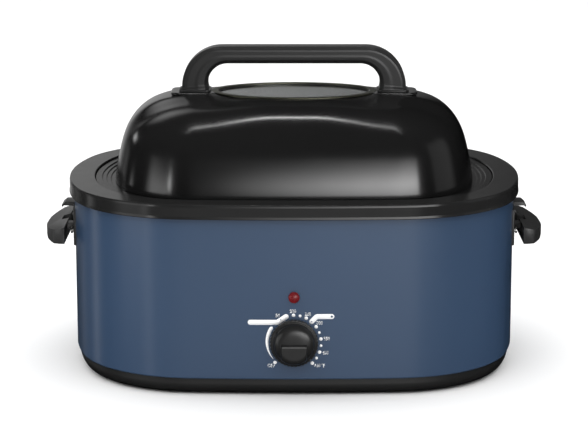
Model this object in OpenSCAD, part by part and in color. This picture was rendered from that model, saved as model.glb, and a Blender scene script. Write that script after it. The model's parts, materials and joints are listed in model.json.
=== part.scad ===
// Countertop electric roaster oven: an oval-cornered steel body with a lift-out pan, rack and
// domed lid. Millimetres, +Z up, +X to the right of the control knob, the knob faces -Y.
// The origin is the centre of the footprint, on the table.

/* [Body plan] */
// Width of the painted body over its end walls
body_w = 494; // [460:1:540]
// Depth of the painted body over its front and rear walls
body_d = 375; // [360:1:400]
// Radius of the gentle bow of the front and rear walls
front_bow_r = 1750; // [1400:10:3000]
// Radius of the bow of the two end walls
end_bow_r = 300; // [280:1:340]
// Corner radius of the body
corner_r = 135; // [128:1:145]

/* [Body shell] */
// Thickness of the painted steel wall
wall_t = 1; // [0.6:0.1:1.5]
// Height of the painted wall from its bottom hem to the collar's lower edge
wall_show_h = 174.3; // [150:0.1:200]
// Width of the hem folded inwards at the bottom of the wall
hem_w = 8; // [6:0.5:10]

/* [Base] */
// How far the feet lift the base off the table
foot_lift = 1; // [0.6:0.1:3]
// Height of the black base band, underside to the painted wall
base_h = 18.2; // [16:0.1:26]
// How far the base band stands back from the painted wall
base_inset = 3; // [2:0.1:5]
// Radius of the base's rounded lower edge
base_edge_r = 12; // [8:0.5:14]
// Thickness of the base floor
base_floor_t = 2.4; // [2:0.1:3.5]
// Radius of each rubber foot
foot_r = 11; // [8:0.5:14]
// Distance between foot centres along the width
foot_span_x = 340; // [300:1:360]
// Distance between foot centres along the depth
foot_span_y = 220; // [190:1:230]

/* [Collar] */
// Overhang of the collar beyond the painted wall
collar_out = 5.7; // [4:0.1:8]
// Height of the collar's front face
collar_h = 15.9; // [13:0.1:20]
// Width of the collar's flat top, from the painted wall line inwards
collar_in = 23.2; // [21:0.1:26]
// Thickness of the collar moulding
collar_t = 2.2; // [1.6:0.1:3]
// Depth of the seat for the pan below the collar's top
seat_drop = 6.6; // [5.5:0.1:8]
// Width of the seat for the pan
seat_w = 6.5; // [5:0.1:7]

/* [Cooking well] */
// Distance from the painted wall to the outside of the well
well_gap = 34; // [32:0.5:37]
// Thickness of the well's sheet
well_t = 1; // [0.6:0.1:1.5]
// Height of the well's underside above the table
well_z = 22; // [20:0.5:26]
// Thickness of the wound heating band
band_t = 2.5; // [1.5:0.1:3]
// Height of the heating band
band_h = 80; // [60:1:100]
// Height of the heating band's lower edge above the well's underside
band_rise = 38; // [30:1:50]
// Width of the gap between the band's two ends at the rear
band_gap = 24; // [18:1:40]
// Thickness of the fibre blanket round the band
blanket_t = 10; // [6:0.5:12]

/* [Roasting pan] */
// Thickness of the pan's sheet at wall and floor
pan_t = 1.4; // [1:0.1:2]
// Air space between the pan's floor and the well's floor
pan_air = 9; // [6:0.5:14]
// Draft of the pan's wall, top to bottom
pan_draft = 11.6; // [8:0.1:14]
// Width of the flat top of the pan's rim
rim_flat_w = 7.4; // [6:0.1:9]
// Width of each step between the rim's top and the lid's ledge
rim_step_w = 4.4; // [3.6:0.1:5]
// Drop of each of the rim's three steps
rim_step_h = 1.1; // [0.8:0.1:1.4]
// Width of the ledge that the lid stands on
lid_ledge_w = 8.6; // [7.5:0.1:10]

/* [Rack] */
// Diameter of the rack's frame wire
frame_wire_d = 5; // [4:0.1:6]
// Diameter of the rack's cross wires
cross_wire_d = 3; // [2:0.1:4]
// Distance between neighbouring cross wires
cross_pitch = 24; // [18:1:36]
// Height of the rack's lift handles above its frame
rack_handle_h = 72; // [50:1:90]
// Width of the rack's lift handles
rack_handle_w = 90; // [70:1:110]

/* [Lid] */
// Distance from the pan rim's last step to the lid's lower edge
lid_step_gap = 5.1; // [3.6:0.1:6]
// Height of the lid's side, lower edge to where the shoulder starts
lid_side_h = 42; // [34:0.5:50]
// How far the side leans in over that height
lid_side_lean = 8; // [5:0.1:12]
// Height of the lid's dome, lower edge to the crown's edge
lid_h = 95; // [85:0.5:105]
// Width of the side and shoulder together, seen from above
lid_shoulder_w = 72; // [66:0.5:76]
// Further rise from the crown's edge to the window
lid_crown_rise = 1.3; // [0.6:0.1:4]
// Thickness of the lid's sheet
lid_t = 1.2; // [0.8:0.1:2]

/* [Window] */
// Half the window's opening along the width
window_a = 88.3; // [80:0.1:90]
// Half the window's opening along the depth
window_b = 56.3; // [48:0.1:58]
// Width of the ring's flange beyond the opening
ring_flange = 4.7; // [3:0.1:5]
// Width of the ring's lip over the glass
ring_lip = 3.8; // [3:0.1:6]
// Thickness of the ring's sheet
ring_t = 1.2; // [0.8:0.1:1.6]
// Thickness of the glass
glass_t = 3; // [2:0.1:5]

/* [Lid handle] */
// Half the handle's length over its legs
arch_reach = 125; // [121:0.5:128]
// Height of the handle's top above the crown
arch_h = 51.3; // [46:0.1:60]
// Thickness of the bar seen from the front
arch_bar_t = 19.2; // [16:0.1:22]
// Thickness of each leg seen from the front
arch_leg_t = 29; // [24:0.5:30]
// Depth of the bar, front to rear
arch_depth = 28; // [24:0.5:32]
// Radius of the handle's outer corners
arch_corner_r = 45; // [38:0.5:45]
// Radius of the handle's inner corners
arch_inner_r = 22; // [16:0.5:22]
// Width of the chamfer along the handle's edges
arch_chamfer = 4; // [2:0.1:6]
// Thickness of the heat-resistant seat under each leg
seat_pad_t = 2; // [1.2:0.1:3]

/* [Side handles] */
// Reach of each side handle beyond the painted wall
grip_reach = 33; // [30:0.5:38]
// Width of the grip bar
grip_w = 25.5; // [23:0.5:30]
// Length of the grip bar, front to rear
grip_len = 130; // [110:1:134]
// How far the grip's outer edge falls back at its ends
grip_bow = 15; // [8:0.5:16]
// Height of the grip's underside above the table
grip_z = 139.5; // [120:0.5:145]
// Height of the grip bar at its outer edge
grip_outer_h = 12.5; // [10:0.5:16]
// Height of the grip bar at its inner edge
grip_inner_h = 18.5; // [16:0.5:22]
// Depth of the finger hollow under the grip bar
finger_hollow_h = 8; // [5:0.5:9]
// Thickness of the bracket against the wall
bracket_t = 2.5; // [2:0.1:2.8]
// Height of the bracket
bracket_h = 40; // [36:0.5:48]
// Width of the hooked ledge on the bracket
ledge_w = 27; // [20:0.5:34]
// Reach of the hooked ledge beyond the wall
ledge_reach = 15; // [12:0.5:18]

/* [Control] */
// Height of the knob's axis above the table
knob_z = 60.2; // [54:0.1:66]
// Diameter of the knob's fluted skirt
knob_d = 51.4; // [46:0.1:56]
// Thickness of the knob's skirt
knob_skirt_t = 5.2; // [4:0.1:7]
// Diameter of the knob's domed cap
knob_cap_d = 43; // [38:0.1:44]
// How far the knob stands out from the painted wall
knob_out = 20; // [17:0.5:26]
// Number of flutes round the knob's skirt
knob_flutes = 40; // [24:1:48]
// Radius of the thermostat's shaft
shaft_r = 3; // [2.5:0.1:3.5]
// Running clearance between the shaft and its bushing, on the radius
shaft_clear = 0.05; // [0.02:0.01:0.1]
// Width of the thermostat's body
stat_w = 42; // [38:0.5:48]
// Height of the thermostat's body
stat_h = 36; // [30:0.5:42]
// Depth of the thermostat's body
stat_d = 22; // [16:0.5:23]
// Height of the signal lamp's axis above the table
lamp_z = 109.4; // [104:0.1:120]
// Diameter of the signal lamp's red lens
lens_d = 12; // [9:0.1:14]
// Diameter of the supply cord that the rear bushing takes
cord_d = 7.2; // [6:0.1:8]
// Height of the cord bushing's axis above the table
cord_z = 45; // [40:0.5:60]

/* [Hidden] */

blue = [0.26, 0.34, 0.43];
black = [0.13, 0.13, 0.13];
satin_black = [0.16, 0.16, 0.16];
steel = [0.72, 0.72, 0.70];
zinc = [0.80, 0.80, 0.78];
rubber_grey = [0.10, 0.10, 0.10];

// Clearances: loose fit of a lifted part, seat of a resting part, play round a screw
lift_clear = 0.7;
seat_clear = 0.3;
screw_clear = 0.15;
eps = 0.01;

// Facets of one quadrant of the plan: front bow, corner, end bow
front_facets = 3;
corner_facets = 8;
end_facets = 2;
round_fn = 48;

// Heights, all from the table
base_z = foot_lift;
wall_z = base_z + base_h;
base_floor_z = base_z + base_floor_t;
collar_z = wall_z + wall_show_h;
collar_top = collar_z + collar_h;
wall_top = collar_top - collar_t - seat_clear;
seat_z = collar_top - seat_drop;
well_top = seat_z - collar_t - seat_clear;
pan_z = well_z + well_t + pan_air;
front_y = -body_d / 2;
rear_y = body_d / 2;
end_x = body_w / 2;

// ---- Plan curve: three tangent arcs a quadrant, and its parallel curves ----

// Centre of the corner arc, from half width a, half depth b, bow radii r1, r2, corner radius rc
function corner_centre(a, b, r1, r2, rc) =
  let (front = [0, r1 - b], end = [a - r2, 0])
  let (gap = norm(end - front), reach1 = r1 - rc, reach2 = r2 - rc)
  let (along = (reach1 * reach1 - reach2 * reach2 + gap * gap) / (2 * gap))
  let (across = sqrt(reach1 * reach1 - along * along), dir = (end - front) / gap)
  front + along * dir + across * [-dir[1], dir[0]];

// Points of an arc round c from angle t0 towards t1, without its last point
function arc_points(c, r, t0, t1, count) =
  [for (i = [0:count - 1]) let (t = t0 + (t1 - t0) * i / count) c + r * [cos(t), sin(t)]];

// The front right quadrant, from (0, -b) up to but without (a, 0)
function plan_quadrant(off) =
  let (a = body_w / 2 + off, b = body_d / 2 + off)
  let (r1 = front_bow_r + off, r2 = end_bow_r + off, rc = corner_r + off)
  let (front = [0, r1 - b], end = [a - r2, 0], c = corner_centre(a, b, r1, r2, rc))
  let (t1 = atan2(c[1] - front[1], c[0] - front[0]), t2 = atan2(c[1] - end[1], c[0] - end[0]))
  concat(
    arc_points(front, r1, -90, t1, front_facets),
    arc_points(c, rc, t1, t2, corner_facets),
    arc_points(end, r2, t2, 0, end_facets)
  );

// The whole plan, counter-clockwise, moved out by off (or in, where off is negative)
function plan(off) =
  let (q = plan_quadrant(off), n = len(q), tip = [body_w / 2 + off, 0])
  let (half = concat(q, [tip], [for (i = [n - 1:-1:1]) [q[i][0], -q[i][1]]]))
  concat(half, [for (p = half) -p]);

// Point number i of the plan moved out by off, counted round from the front centre
function plan_point(off, i) = let (p = plan(off)) p[(i + len(p)) % len(p)];

// The end wall's x where the plan moved out by off crosses a given y near its middle
function end_wall_x(y, off) =
  end_x - end_bow_r + sqrt(pow(end_bow_r + off, 2) - y * y);

// An oval with half axes a and b, with one point for each point of the plan
function oval_like_plan(a, b, off) =
  let (p = plan(off))
  [for (q = p) let (t = atan2(q[1] / (body_d / 2 + off), q[0] / (body_w / 2 + off)))
    [a * cos(t), b * sin(t)]];

// Mixes two equally long outlines
function mix(p, q, t) = [for (i = [0:len(p) - 1]) p[i] * (1 - t) + q[i] * t];

// Raises an outline to height z
function lift(p, z) = [for (q = p) [q[0], q[1], z]];

// Rings for a profile of [offset, height] pairs
function plan_rings(profile) = [for (s = profile) lift(plan(s[0]), s[1])];

// A quarter round from angle t0 to t1 round centre c, as [offset, height] pairs
function fillet(c, r, t0, t1, count) =
  [for (i = [0:count]) let (t = t0 + (t1 - t0) * i / count) c + r * [cos(t), sin(t)]];

// A cubic curve from a to d with handles b and c
function cubic(a, b, c, d, t) =
  a * pow(1 - t, 3) + b * 3 * t * pow(1 - t, 2) + c * 3 * t * t * (1 - t) + d * pow(t, 3);

// ---- General solids ----

// Joins rings into one closed skin; closed joins the last ring to the first, else both are capped
module skin(rings, closed) {
  m = len(rings);
  n = len(rings[0]);
  last = closed ? m - 1 : m - 2;
  sides = [
    for (j = [0:last]) for (i = [0:n - 1])
      [j * n + i, ((j + 1) % m) * n + i, ((j + 1) % m) * n + (i + 1) % n, j * n + (i + 1) % n]
  ];
  first_cap = [for (i = [0:n - 1]) i];
  last_cap = [for (i = [n - 1:-1:0]) (m - 1) * n + i];
  polyhedron(
    points = [for (r = rings) each r],
    faces = closed ? sides : concat(sides, [first_cap, last_cap]),
    convexity = 8
  );
}

// A prism of the plan between two offsets and two heights
module plan_band(out, in, z0, z1) {
  translate([0, 0, z0])
    linear_extrude(z1 - z0)
      difference() {
        polygon(plan(out));
        polygon(plan(in));
      }
}

// A prism between an outer and an inner oval
module oval_band(a, b, wall, z0, z1) {
  translate([0, 0, z0])
    linear_extrude(z1 - z0)
      difference() {
        polygon(oval(a, b));
        polygon(oval(a - wall, b - wall));
      }
}

function oval(a, b) = [for (i = [0:oval_facets - 1]) let (t = 360 * i / oval_facets)
  [a * cos(t), b * sin(t)]];
oval_facets = 64;

// A cylinder along +Y from y0 to y1 about (x, z)
module rod_y(x, z, y0, y1, r) {
  translate([x, y0, z])
    rotate([-90, 0, 0])
      cylinder(h = y1 - y0, r = r, $fn = round_fn);
}

// A cylinder along +X from x0 to x1 about (y, z)
module rod_x(y, z, x0, x1, r) {
  translate([x0, y, z])
    rotate([0, 90, 0])
      cylinder(h = x1 - x0, r = r, $fn = round_fn);
}

// A cylinder along +Z
module rod_z(x, y, z0, z1, r) {
  translate([x, y, z0])
    cylinder(h = z1 - z0, r = r, $fn = round_fn);
}

// A block between two corners
module block(low, high) {
  translate(low)
    cube(high - low);
}

// A round tube swept along points, with flat ends; each ring's side turns as little as it can
function unit(v) = v / norm(v);
function tube_tangent(p, i) = unit(p[min(i + 1, len(p) - 1)] - p[max(i - 1, 0)]);
function tube_sides(p, i, side) =
  i == len(p) ? [] :
  let (dir = tube_tangent(p, i), next = unit(side - (side * dir) * dir))
  concat([next], tube_sides(p, i + 1, next));

module tube(points, r, sides = 8) {
  first = tube_tangent(points, 0);
  side = tube_sides(points, 0, cross(first, abs(first[2]) > 0.9 ? [1, 0, 0] : [0, 0, 1]));
  rings = [
    for (i = [0:len(points) - 1]) let (up = cross(side[i], tube_tangent(points, i)))
      [for (k = [0:sides - 1]) let (t = 360 * k / sides)
        points[i] + r * (cos(t) * side[i] + sin(t) * up)]
  ];
  skin(rings, false);
}

// ---- Base ----
foot_disc_h = foot_lift + 1.5;
foot_recess_clear = 0.4;
foot_stem_r = 3.4;
foot_barb_r = 5;
foot_barb_h = 1.6;
screw_head_r = 4;
screw_r = 2;
boss_r = 7;
boss_h = 3.6;
standoff_r = 5;
standoff_x = 120;
standoff_y = 60;
base_rim_t = 2;
base_upstand_h = 6;

module at_feet() {
  for (sx = [-1, 1]) for (sy = [-1, 1])
    translate([sx * foot_span_x / 2, sy * foot_span_y / 2, 0]) children();
}

module at_standoffs() {
  for (sx = [-1, 1]) for (sy = [-1, 1])
    translate([sx * standoff_x, sy * standoff_y, 0]) children();
}

base_screw_seat_z = base_floor_z + 0.4;
boss_top_z = base_floor_z + boss_h;

module base_pan() {
  edge = [-base_inset - base_edge_r, base_z + base_edge_r];
  upstand = -wall_t - hem_w - screw_clear;
  outer = concat(
    fillet(edge, base_edge_r, -90, 0, 4),
    [[-base_inset, wall_z], [upstand, wall_z], [upstand, wall_z + base_upstand_h]]
  );
  inner_x = upstand - base_rim_t;
  inner = [
    [inner_x, wall_z + base_upstand_h],
    [inner_x, base_floor_z + 4],
    [inner_x - 4, base_floor_z]
  ];
  color(black)
    difference() {
      union() {
        skin(plan_rings(concat(outer, inner)), false);
        at_standoffs() rod_z(0, 0, base_floor_z - 1, boss_top_z, boss_r);
      }
      at_feet() {
        rod_z(0, 0, base_z - 1, foot_disc_h + 0.1, foot_r + foot_recess_clear);
        rod_z(0, 0, base_z - 1, base_floor_z + 1, foot_stem_r + screw_clear);
      }
      at_standoffs() {
        rod_z(0, 0, base_z - 1, base_screw_seat_z, screw_head_r + 0.5);
        rod_z(0, 0, base_z - 1, boss_top_z + 1, screw_r + screw_clear);
      }
    }
}

module rubber_feet() {
  color(rubber_grey)
    at_feet() {
      rod_z(0, 0, 0, foot_disc_h, foot_r);
      rod_z(0, 0, foot_disc_h - eps, base_floor_z + 0.3, foot_stem_r);
      rod_z(0, 0, base_floor_z + 0.2, base_floor_z + 0.2 + foot_barb_h, foot_barb_r);
    }
}

module base_screws() {
  color(zinc)
    at_standoffs() {
      rod_z(0, 0, base_screw_seat_z - 2.2, base_screw_seat_z, screw_head_r);
      rod_z(0, 0, base_screw_seat_z - eps, boss_top_z + 7, screw_r);
    }
}

module well_standoffs() {
  color(steel)
    at_standoffs()
      difference() {
        rod_z(0, 0, boss_top_z, well_z, standoff_r);
        rod_z(0, 0, boss_top_z - 1, boss_top_z + 8, screw_r + 0.05);
      }
}

// ---- Painted wall ----
bushing_r = 5;
lens_stem_r = lens_d / 2 - 1.4;
gland_r = cord_d / 2 + 4.4;
handle_screw_y = 40;
handle_screw_z = grip_z + 10.5;
handle_screw_r = 2;
handle_head_r = 3.6;
handle_head_h = 1.9;
bracket_half = 50;

seam_x = 70;
seam_gap = 0.2;

module wall_ring() {
  plan_band(0, -wall_t, wall_z, wall_top);
  plan_band(-wall_t + eps, -wall_t - hem_w, wall_z, wall_z + wall_t);
}

// The stretch of the rear between the wall's two ends
module rear_stretch(half) {
  block([-half, 0, wall_z - 1], [half, rear_y + 1, wall_top + 1]);
}

// One sheet wrapped round the front and both ends, from one side of the rear panel to the other
module housing_wall() {
  color(blue)
    difference() {
      wall_ring();
      rear_stretch(seam_x);
      rod_y(0, knob_z, front_y - 5, front_y + 5, bushing_r + screw_clear);
      for (s = [-1, 1])
        rod_y(s * stat_screw_x, knob_z, front_y - 5, front_y + 5, screw_r + screw_clear);
      rod_y(0, lamp_z, front_y - 5, front_y + 5, lens_stem_r + screw_clear);
      for (s = [-1, 1]) for (sy = [-1, 1])
        rod_x(sy * handle_screw_y, handle_screw_z, s > 0 ? end_x - 12 : -end_x - 4,
          s > 0 ? end_x + 4 : -end_x + 12, handle_screw_r + screw_clear);
    }
}

// Closes the wall at the rear, held like it between base and collar, with the hole for the cord's bushing
module rear_panel() {
  color(blue)
    difference() {
      intersection() {
        wall_ring();
        rear_stretch(seam_x - seam_gap);
      }
      rod_y(0, cord_z, rear_y - 5, rear_y + 5, gland_r + screw_clear);
    }
}

// ---- Collar ----
collar_edge = 1.5;
collar_lip_h = 1.5;

module top_collar() {
  inner = -collar_in;
  cavity_top = collar_top - collar_t;
  profile = [
    [0.3, collar_z], [collar_out - 0.7, collar_z], [collar_out, collar_z + 0.7],
    [collar_out, collar_top - collar_edge], [collar_out - collar_edge * 0.3, collar_top - 0.45],
    [collar_out - collar_edge, collar_top], [inner + collar_edge, collar_top],
    [inner, collar_top - collar_edge], [inner, seat_z], [inner - seat_w, seat_z],
    [inner - seat_w, seat_z - collar_t], [inner + collar_t, seat_z - collar_t],
    [inner + collar_t, cavity_top], [collar_out - collar_t, cavity_top],
    [collar_out - collar_t, collar_z + collar_lip_h], [0.3, collar_z + collar_lip_h]
  ];
  color(black)
    skin(plan_rings(profile), true);
}

// ---- Cooking well, heating band and blanket ----
well_flange_w = 9.2;
well_edge = 12;
band_z = well_z + band_rise;

module cooking_well() {
  outer = -well_gap;
  inner = outer - well_t;
  outside = concat(
    fillet([outer - well_edge, well_z + well_edge], well_edge, -90, 0, 3),
    [[outer, well_top - well_t], [outer + well_flange_w, well_top - well_t],
     [outer + well_flange_w, well_top], [inner, well_top]]
  );
  inside = fillet([inner - well_edge + well_t, well_z + well_edge], well_edge - well_t, 0, -90, 3);
  color(steel)
    skin(plan_rings(concat(outside, inside)), false);
}

band_in = -well_gap + seat_clear;
lug_t = 2;
lug_out = 9;
clamp_z = band_z + band_h / 2;

module heating_band() {
  back_y = rear_y + band_in;
  color([0.62, 0.60, 0.55])
    union() {
      difference() {
        plan_band(band_in + band_t, band_in, band_z, band_z + band_h);
        block([-band_gap / 2, 0, band_z - 1], [band_gap / 2, rear_y, band_z + band_h + 1]);
      }
      for (s = [-1, 1])
        translate([s * (band_gap / 2 + lug_t / 2), 0, 0])
          difference() {
            block([-lug_t / 2, back_y + 0.2, clamp_z - 8], [lug_t / 2, back_y + lug_out, clamp_z + 8]);
            rod_x(back_y + 5.6, clamp_z, -lug_t, lug_t, screw_r + screw_clear);
          }
    }
}

module band_clamp_screw() {
  y = rear_y + band_in + 5.6;
  reach = band_gap / 2 + lug_t;
  color(zinc)
    union() {
      rod_x(y, clamp_z, -reach - 3, reach + 5, screw_r);
      rod_x(y, clamp_z, -reach - 3, -reach - 0.2, 3.2);
      translate([reach + 0.2, y, clamp_z])
        rotate([0, 90, 0])
          cylinder(h = 2.6, r = 3.2, $fn = 6);
    }
}

blanket_in = band_in + band_t + seat_clear;
blanket_z = band_z - 12;
blanket_top = well_top - 14;
pocket_w = stat_w + 34;
rear_pocket_w = 60;

module insulation_blanket() {
  color([0.93, 0.90, 0.78])
    difference() {
      plan_band(blanket_in + blanket_t, blanket_in, blanket_z, blanket_top);
      block([-pocket_w / 2, front_y, blanket_z - 1], [pocket_w / 2, 0, lamp_z + 16]);
      block([-rear_pocket_w / 2, 0, blanket_z - 1], [rear_pocket_w / 2, rear_y, clamp_z + 14]);
    }
}

// ---- Thermostat and lamp ----
stat_screw_x = 13.5;
// Room for the wall's bow in front of a flat plate
bow_clear = 0.6;
wall_in_y = front_y + wall_t + bow_clear;
stat_plate_t = 1.2;
stat_plate_w = 52;
stat_wing_d = 8;
stat_y0 = wall_in_y + stat_plate_t;
stat_y1 = stat_y0 + stat_d;
nose_out = 0.8;

module thermostat_bracket() {
  color(zinc)
    difference() {
      union() {
        block([-stat_plate_w / 2, wall_in_y, knob_z - stat_h / 2],
          [stat_plate_w / 2, stat_y0, knob_z + stat_h / 2]);
        for (s = [-1, 1])
          block([s * stat_plate_w / 2 - (s > 0 ? stat_plate_t : 0), wall_in_y, knob_z - stat_h / 2],
            [s * stat_plate_w / 2 + (s > 0 ? 0 : stat_plate_t), stat_y0 + stat_wing_d, knob_z + stat_h / 2]);
      }
      rod_y(0, knob_z, wall_in_y - 1, stat_y0 + 1, bushing_r + screw_clear);
      for (s = [-1, 1])
        rod_y(s * stat_screw_x, knob_z, wall_in_y - 1, stat_y0 + 1, screw_r + screw_clear);
    }
}

tab_x = stat_w / 2;
tab_reach = 6;
tab_z = knob_z - 9;

module thermostat_body() {
  color([0.86, 0.84, 0.78])
    difference() {
      union() {
        block([-stat_w / 2, stat_y0, knob_z - stat_h / 2 + 2],
          [stat_w / 2, stat_y1, knob_z + stat_h / 2 - 2]);
        rod_y(0, knob_z, front_y - nose_out, stat_y0 + eps, bushing_r);
        for (s = [-1, 1])
          block([s > 0 ? tab_x - 1 : -tab_x - tab_reach, stat_y1 - 6, tab_z - 3],
            [s > 0 ? tab_x + tab_reach : -tab_x + 1, stat_y1 - 5, tab_z + 3]);
      }
      rod_y(0, knob_z, front_y - nose_out - 1, stat_y1 - 5, shaft_r + shaft_clear);
      for (s = [-1, 1])
        rod_y(s * stat_screw_x, knob_z, stat_y0 - 1, stat_y0 + 9, screw_r + 0.05);
    }
}

module thermostat_screws() {
  color(zinc)
    for (s = [-1, 1])
      union() {
        rod_y(s * stat_screw_x, knob_z, front_y - 2, front_y - 0.1, 3.4);
        rod_y(s * stat_screw_x, knob_z, front_y - 0.1 - eps, stat_y0 + 8, screw_r);
      }
}

shaft_front = front_y - knob_out + 7;
shaft_rear = stat_y1 - 6;

module thermostat_shaft() {
  color(steel)
    difference() {
      rod_y(0, knob_z, shaft_front, shaft_rear, shaft_r);
      block([-shaft_r - 1, shaft_front - 1, knob_z + shaft_r - 1.2],
        [shaft_r + 1, front_y - nose_out - 2, knob_z + shaft_r + 1]);
    }
}

holder_r = lens_d / 2 + 0.6;
holder_rear = wall_in_y + 17;
bulb_r = 2.2;

module lamp_lens() {
  dome_h = 3.4;
  flange_t = 1.6;
  stem = wall_t + 8;
  color([0.62, 0.10, 0.12])
    translate([0, front_y - 0.1, lamp_z])
      rotate([90, 0, 0])
        rotate_extrude($fn = round_fn)
          polygon(concat(
            [[0, -stem], [lens_stem_r, -stem], [lens_stem_r, 0], [lens_d / 2, 0]],
            [for (i = [0:8]) let (t = 90 * i / 8) [lens_d / 2 * cos(t), flange_t + dome_h * sin(t)]]
          ));
}

module lamp_holder() {
  color([0.9, 0.9, 0.88])
    difference() {
      rod_y(0, lamp_z, wall_in_y, holder_rear, holder_r);
      rod_y(0, lamp_z, wall_in_y - 1, front_y + wall_t + 8.2, lens_stem_r + 0.1);
      rod_y(0, lamp_z, wall_in_y - 1, holder_rear - 2, bulb_r + 0.2);
    }
}

module neon_bulb() {
  color([0.9, 0.55, 0.4])
    rod_y(0, lamp_z, front_y + wall_t + 8.3, holder_rear - 2.1, bulb_r);
}

// ---- Knob: fluted skirt, two rings and a domed cap with a finger grip ----
knob_gap = 0.9;
flute_r = 1.15;
skirt_hollow_r = 20;
knob_bore_clear = 0.08;
finger_rise = 4.5;
finger_w = 27;
finger_drop = -1.3;
finger_slope = 1;
finger_trim = 0.5;

// The knob turned about its axis, with its dome standing out by reach; the axis is +Z here. A dome
// with a small edge_power is full right up to its edge.
module knob_body(reach, edge_power, rise_power) {
  skirt_r = knob_d / 2;
  cap_r = knob_cap_d / 2;
  skirt_h = knob_gap + knob_skirt_t;
  dome_h = skirt_h + 2.6;
  rotate_extrude($fn = 96)
    polygon(concat(
      [[0, knob_gap], [skirt_r, knob_gap], [skirt_r, skirt_h - 1], [skirt_r - 1, skirt_h],
       [skirt_r - 2, skirt_h], [skirt_r - 2.2, skirt_h + 0.9], [cap_r + 1, skirt_h + 0.9],
       [cap_r + 0.8, skirt_h + 2], [cap_r, dome_h]],
      [for (i = [0:9]) let (t = 6 + 84 * i / 9)
        [cap_r * pow(cos(t), edge_power), dome_h + (reach - dome_h) * pow(sin(t), rise_power)]]
    ));
}

// Space of the finger grip: below the axis, with a sloped upper face and a flat front
module finger_space() {
  low = -knob_cap_d / 2;
  foot_h = knob_out - finger_rise;
  rotate([90, 0, 90])
    linear_extrude(finger_w, center = true)
      polygon([[low, knob_gap + 3], [-finger_drop, knob_gap + 3], [-finger_drop, foot_h],
        [-finger_drop - finger_slope, knob_out], [low, knob_out]]);
}

// The grip is the part of a fuller and higher dome that lies in the finger space
module temperature_knob() {
  color(black)
    translate([0, front_y, knob_z])
      rotate([90, 0, 0])
        difference() {
          union() {
            knob_body(knob_out - finger_rise, 0.6, 1);
            intersection() {
              knob_body(knob_out + finger_trim, 0.3, 0.8);
              finger_space();
            }
          }
          for (i = [0:knob_flutes - 1])
            rotate([0, 0, 360 * i / knob_flutes])
              translate([knob_d / 2 + 0.45, 0, knob_gap - 1])
                cylinder(h = knob_skirt_t + 2, r = flute_r, $fn = 16);
          translate([0, 0, knob_gap - 1])
            difference() {
              cylinder(h = 4.2, r = skirt_hollow_r, $fn = round_fn);
              translate([0, 0, -1])
                cylinder(h = 7, r = shaft_r + 3.6, $fn = round_fn);
            }
          translate([0, 0, nose_out - 1])
            cylinder(h = 3.4, r = bushing_r + 0.6, $fn = round_fn);
          cylinder(h = knob_out - 6.6, r = shaft_r + knob_bore_clear, $fn = round_fn);
        }
}

module knob_spring_clip() {
  color(zinc)
    block([-1.8, front_y - 9.5, knob_z + shaft_r - 1.1], [1.8, front_y - 4, knob_z + shaft_r - 0.5]);
}

// ---- Supply side ----
bushing_flange_t = 3;
bushing_in = 9;

module cord_bushing() {
  color(rubber_grey)
    difference() {
      union() {
        rod_y(0, cord_z, rear_y + 0.1, rear_y + bushing_flange_t, gland_r + 2.4);
        rod_y(0, cord_z, rear_y - bushing_in, rear_y + 0.1 + eps, gland_r);
        rod_y(0, cord_z, rear_y - bushing_in, rear_y - wall_t - 0.3, gland_r + 1.2);
      }
      rod_y(0, cord_z, rear_y - bushing_in - 1, rear_y + bushing_flange_t + 1, cord_d / 2);
    }
}

block_w = 40;
block_d = 15;
block_h = 13;
block_screw_x = 16;
block_hole_x = 7;
block_hole_h = 7;
block_x = rear_pocket_w / 2 + block_w / 2 + 24;
block_y = rear_y - 41.5;

module terminal_block() {
  color([0.93, 0.93, 0.90])
    difference() {
      block([block_x - block_w / 2, block_y - block_d / 2, base_floor_z],
        [block_x + block_w / 2, block_y + block_d / 2, base_floor_z + block_h]);
      for (i = [-1, 1])
        rod_y(block_x + i * block_hole_x, base_floor_z + block_hole_h, block_y - block_d, block_y + block_d,
          lead_r + 0.3);
      for (s = [-1, 1])
        rod_z(block_x + s * block_screw_x, block_y, base_floor_z - 1, base_floor_z + block_h + 1, 1.6);
    }
}

module terminal_screws() {
  top = base_floor_z + block_h;
  color(zinc)
    for (s = [-1, 1])
      union() {
        rod_z(block_x + s * block_screw_x, block_y, base_floor_z + 0.2, top + 0.2, 1.5);
        rod_z(block_x + s * block_screw_x, block_y, top + 0.1, top + 1.9, 2.9);
      }
}

// ---- Leads clipped inside the body, between the blanket and the wall ----
lead_r = 1.2;
lead_in = 9;
points_round = 4 * (front_facets + corner_facets + end_facets);
half_round = points_round / 2;

// The run of a lead along the wall, from plan point i0 to i1, at height z
function wall_run(i0, i1, z) =
  let (step = i1 > i0 ? 1 : -1)
  [for (i = [i0:step:i1]) let (p = plan_point(-lead_in, i)) [p[0], p[1], z]];

feed_z = 34;

module supply_leads() {
  hot = concat(
    [[block_x + block_hole_x, block_y + 3, base_floor_z + block_hole_h],
     [block_x + block_hole_x, block_y + 14, base_floor_z + block_hole_h],
     [block_x + 12, block_y + 20, base_floor_z + 10]],
    [let (p = plan_point(-lead_in, half_round - 4)) [p[0], p[1], feed_z - 4]],
    wall_run(half_round - 5, 3, feed_z),
    [[44, front_y + 12, feed_z + 6], [tab_x + 11, stat_y1 - 9, tab_z - 4], [tab_x + 4, stat_y1 - 9, tab_z]]
  );
  color([0.15, 0.15, 0.16])
    tube(hot, lead_r);
}

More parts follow.
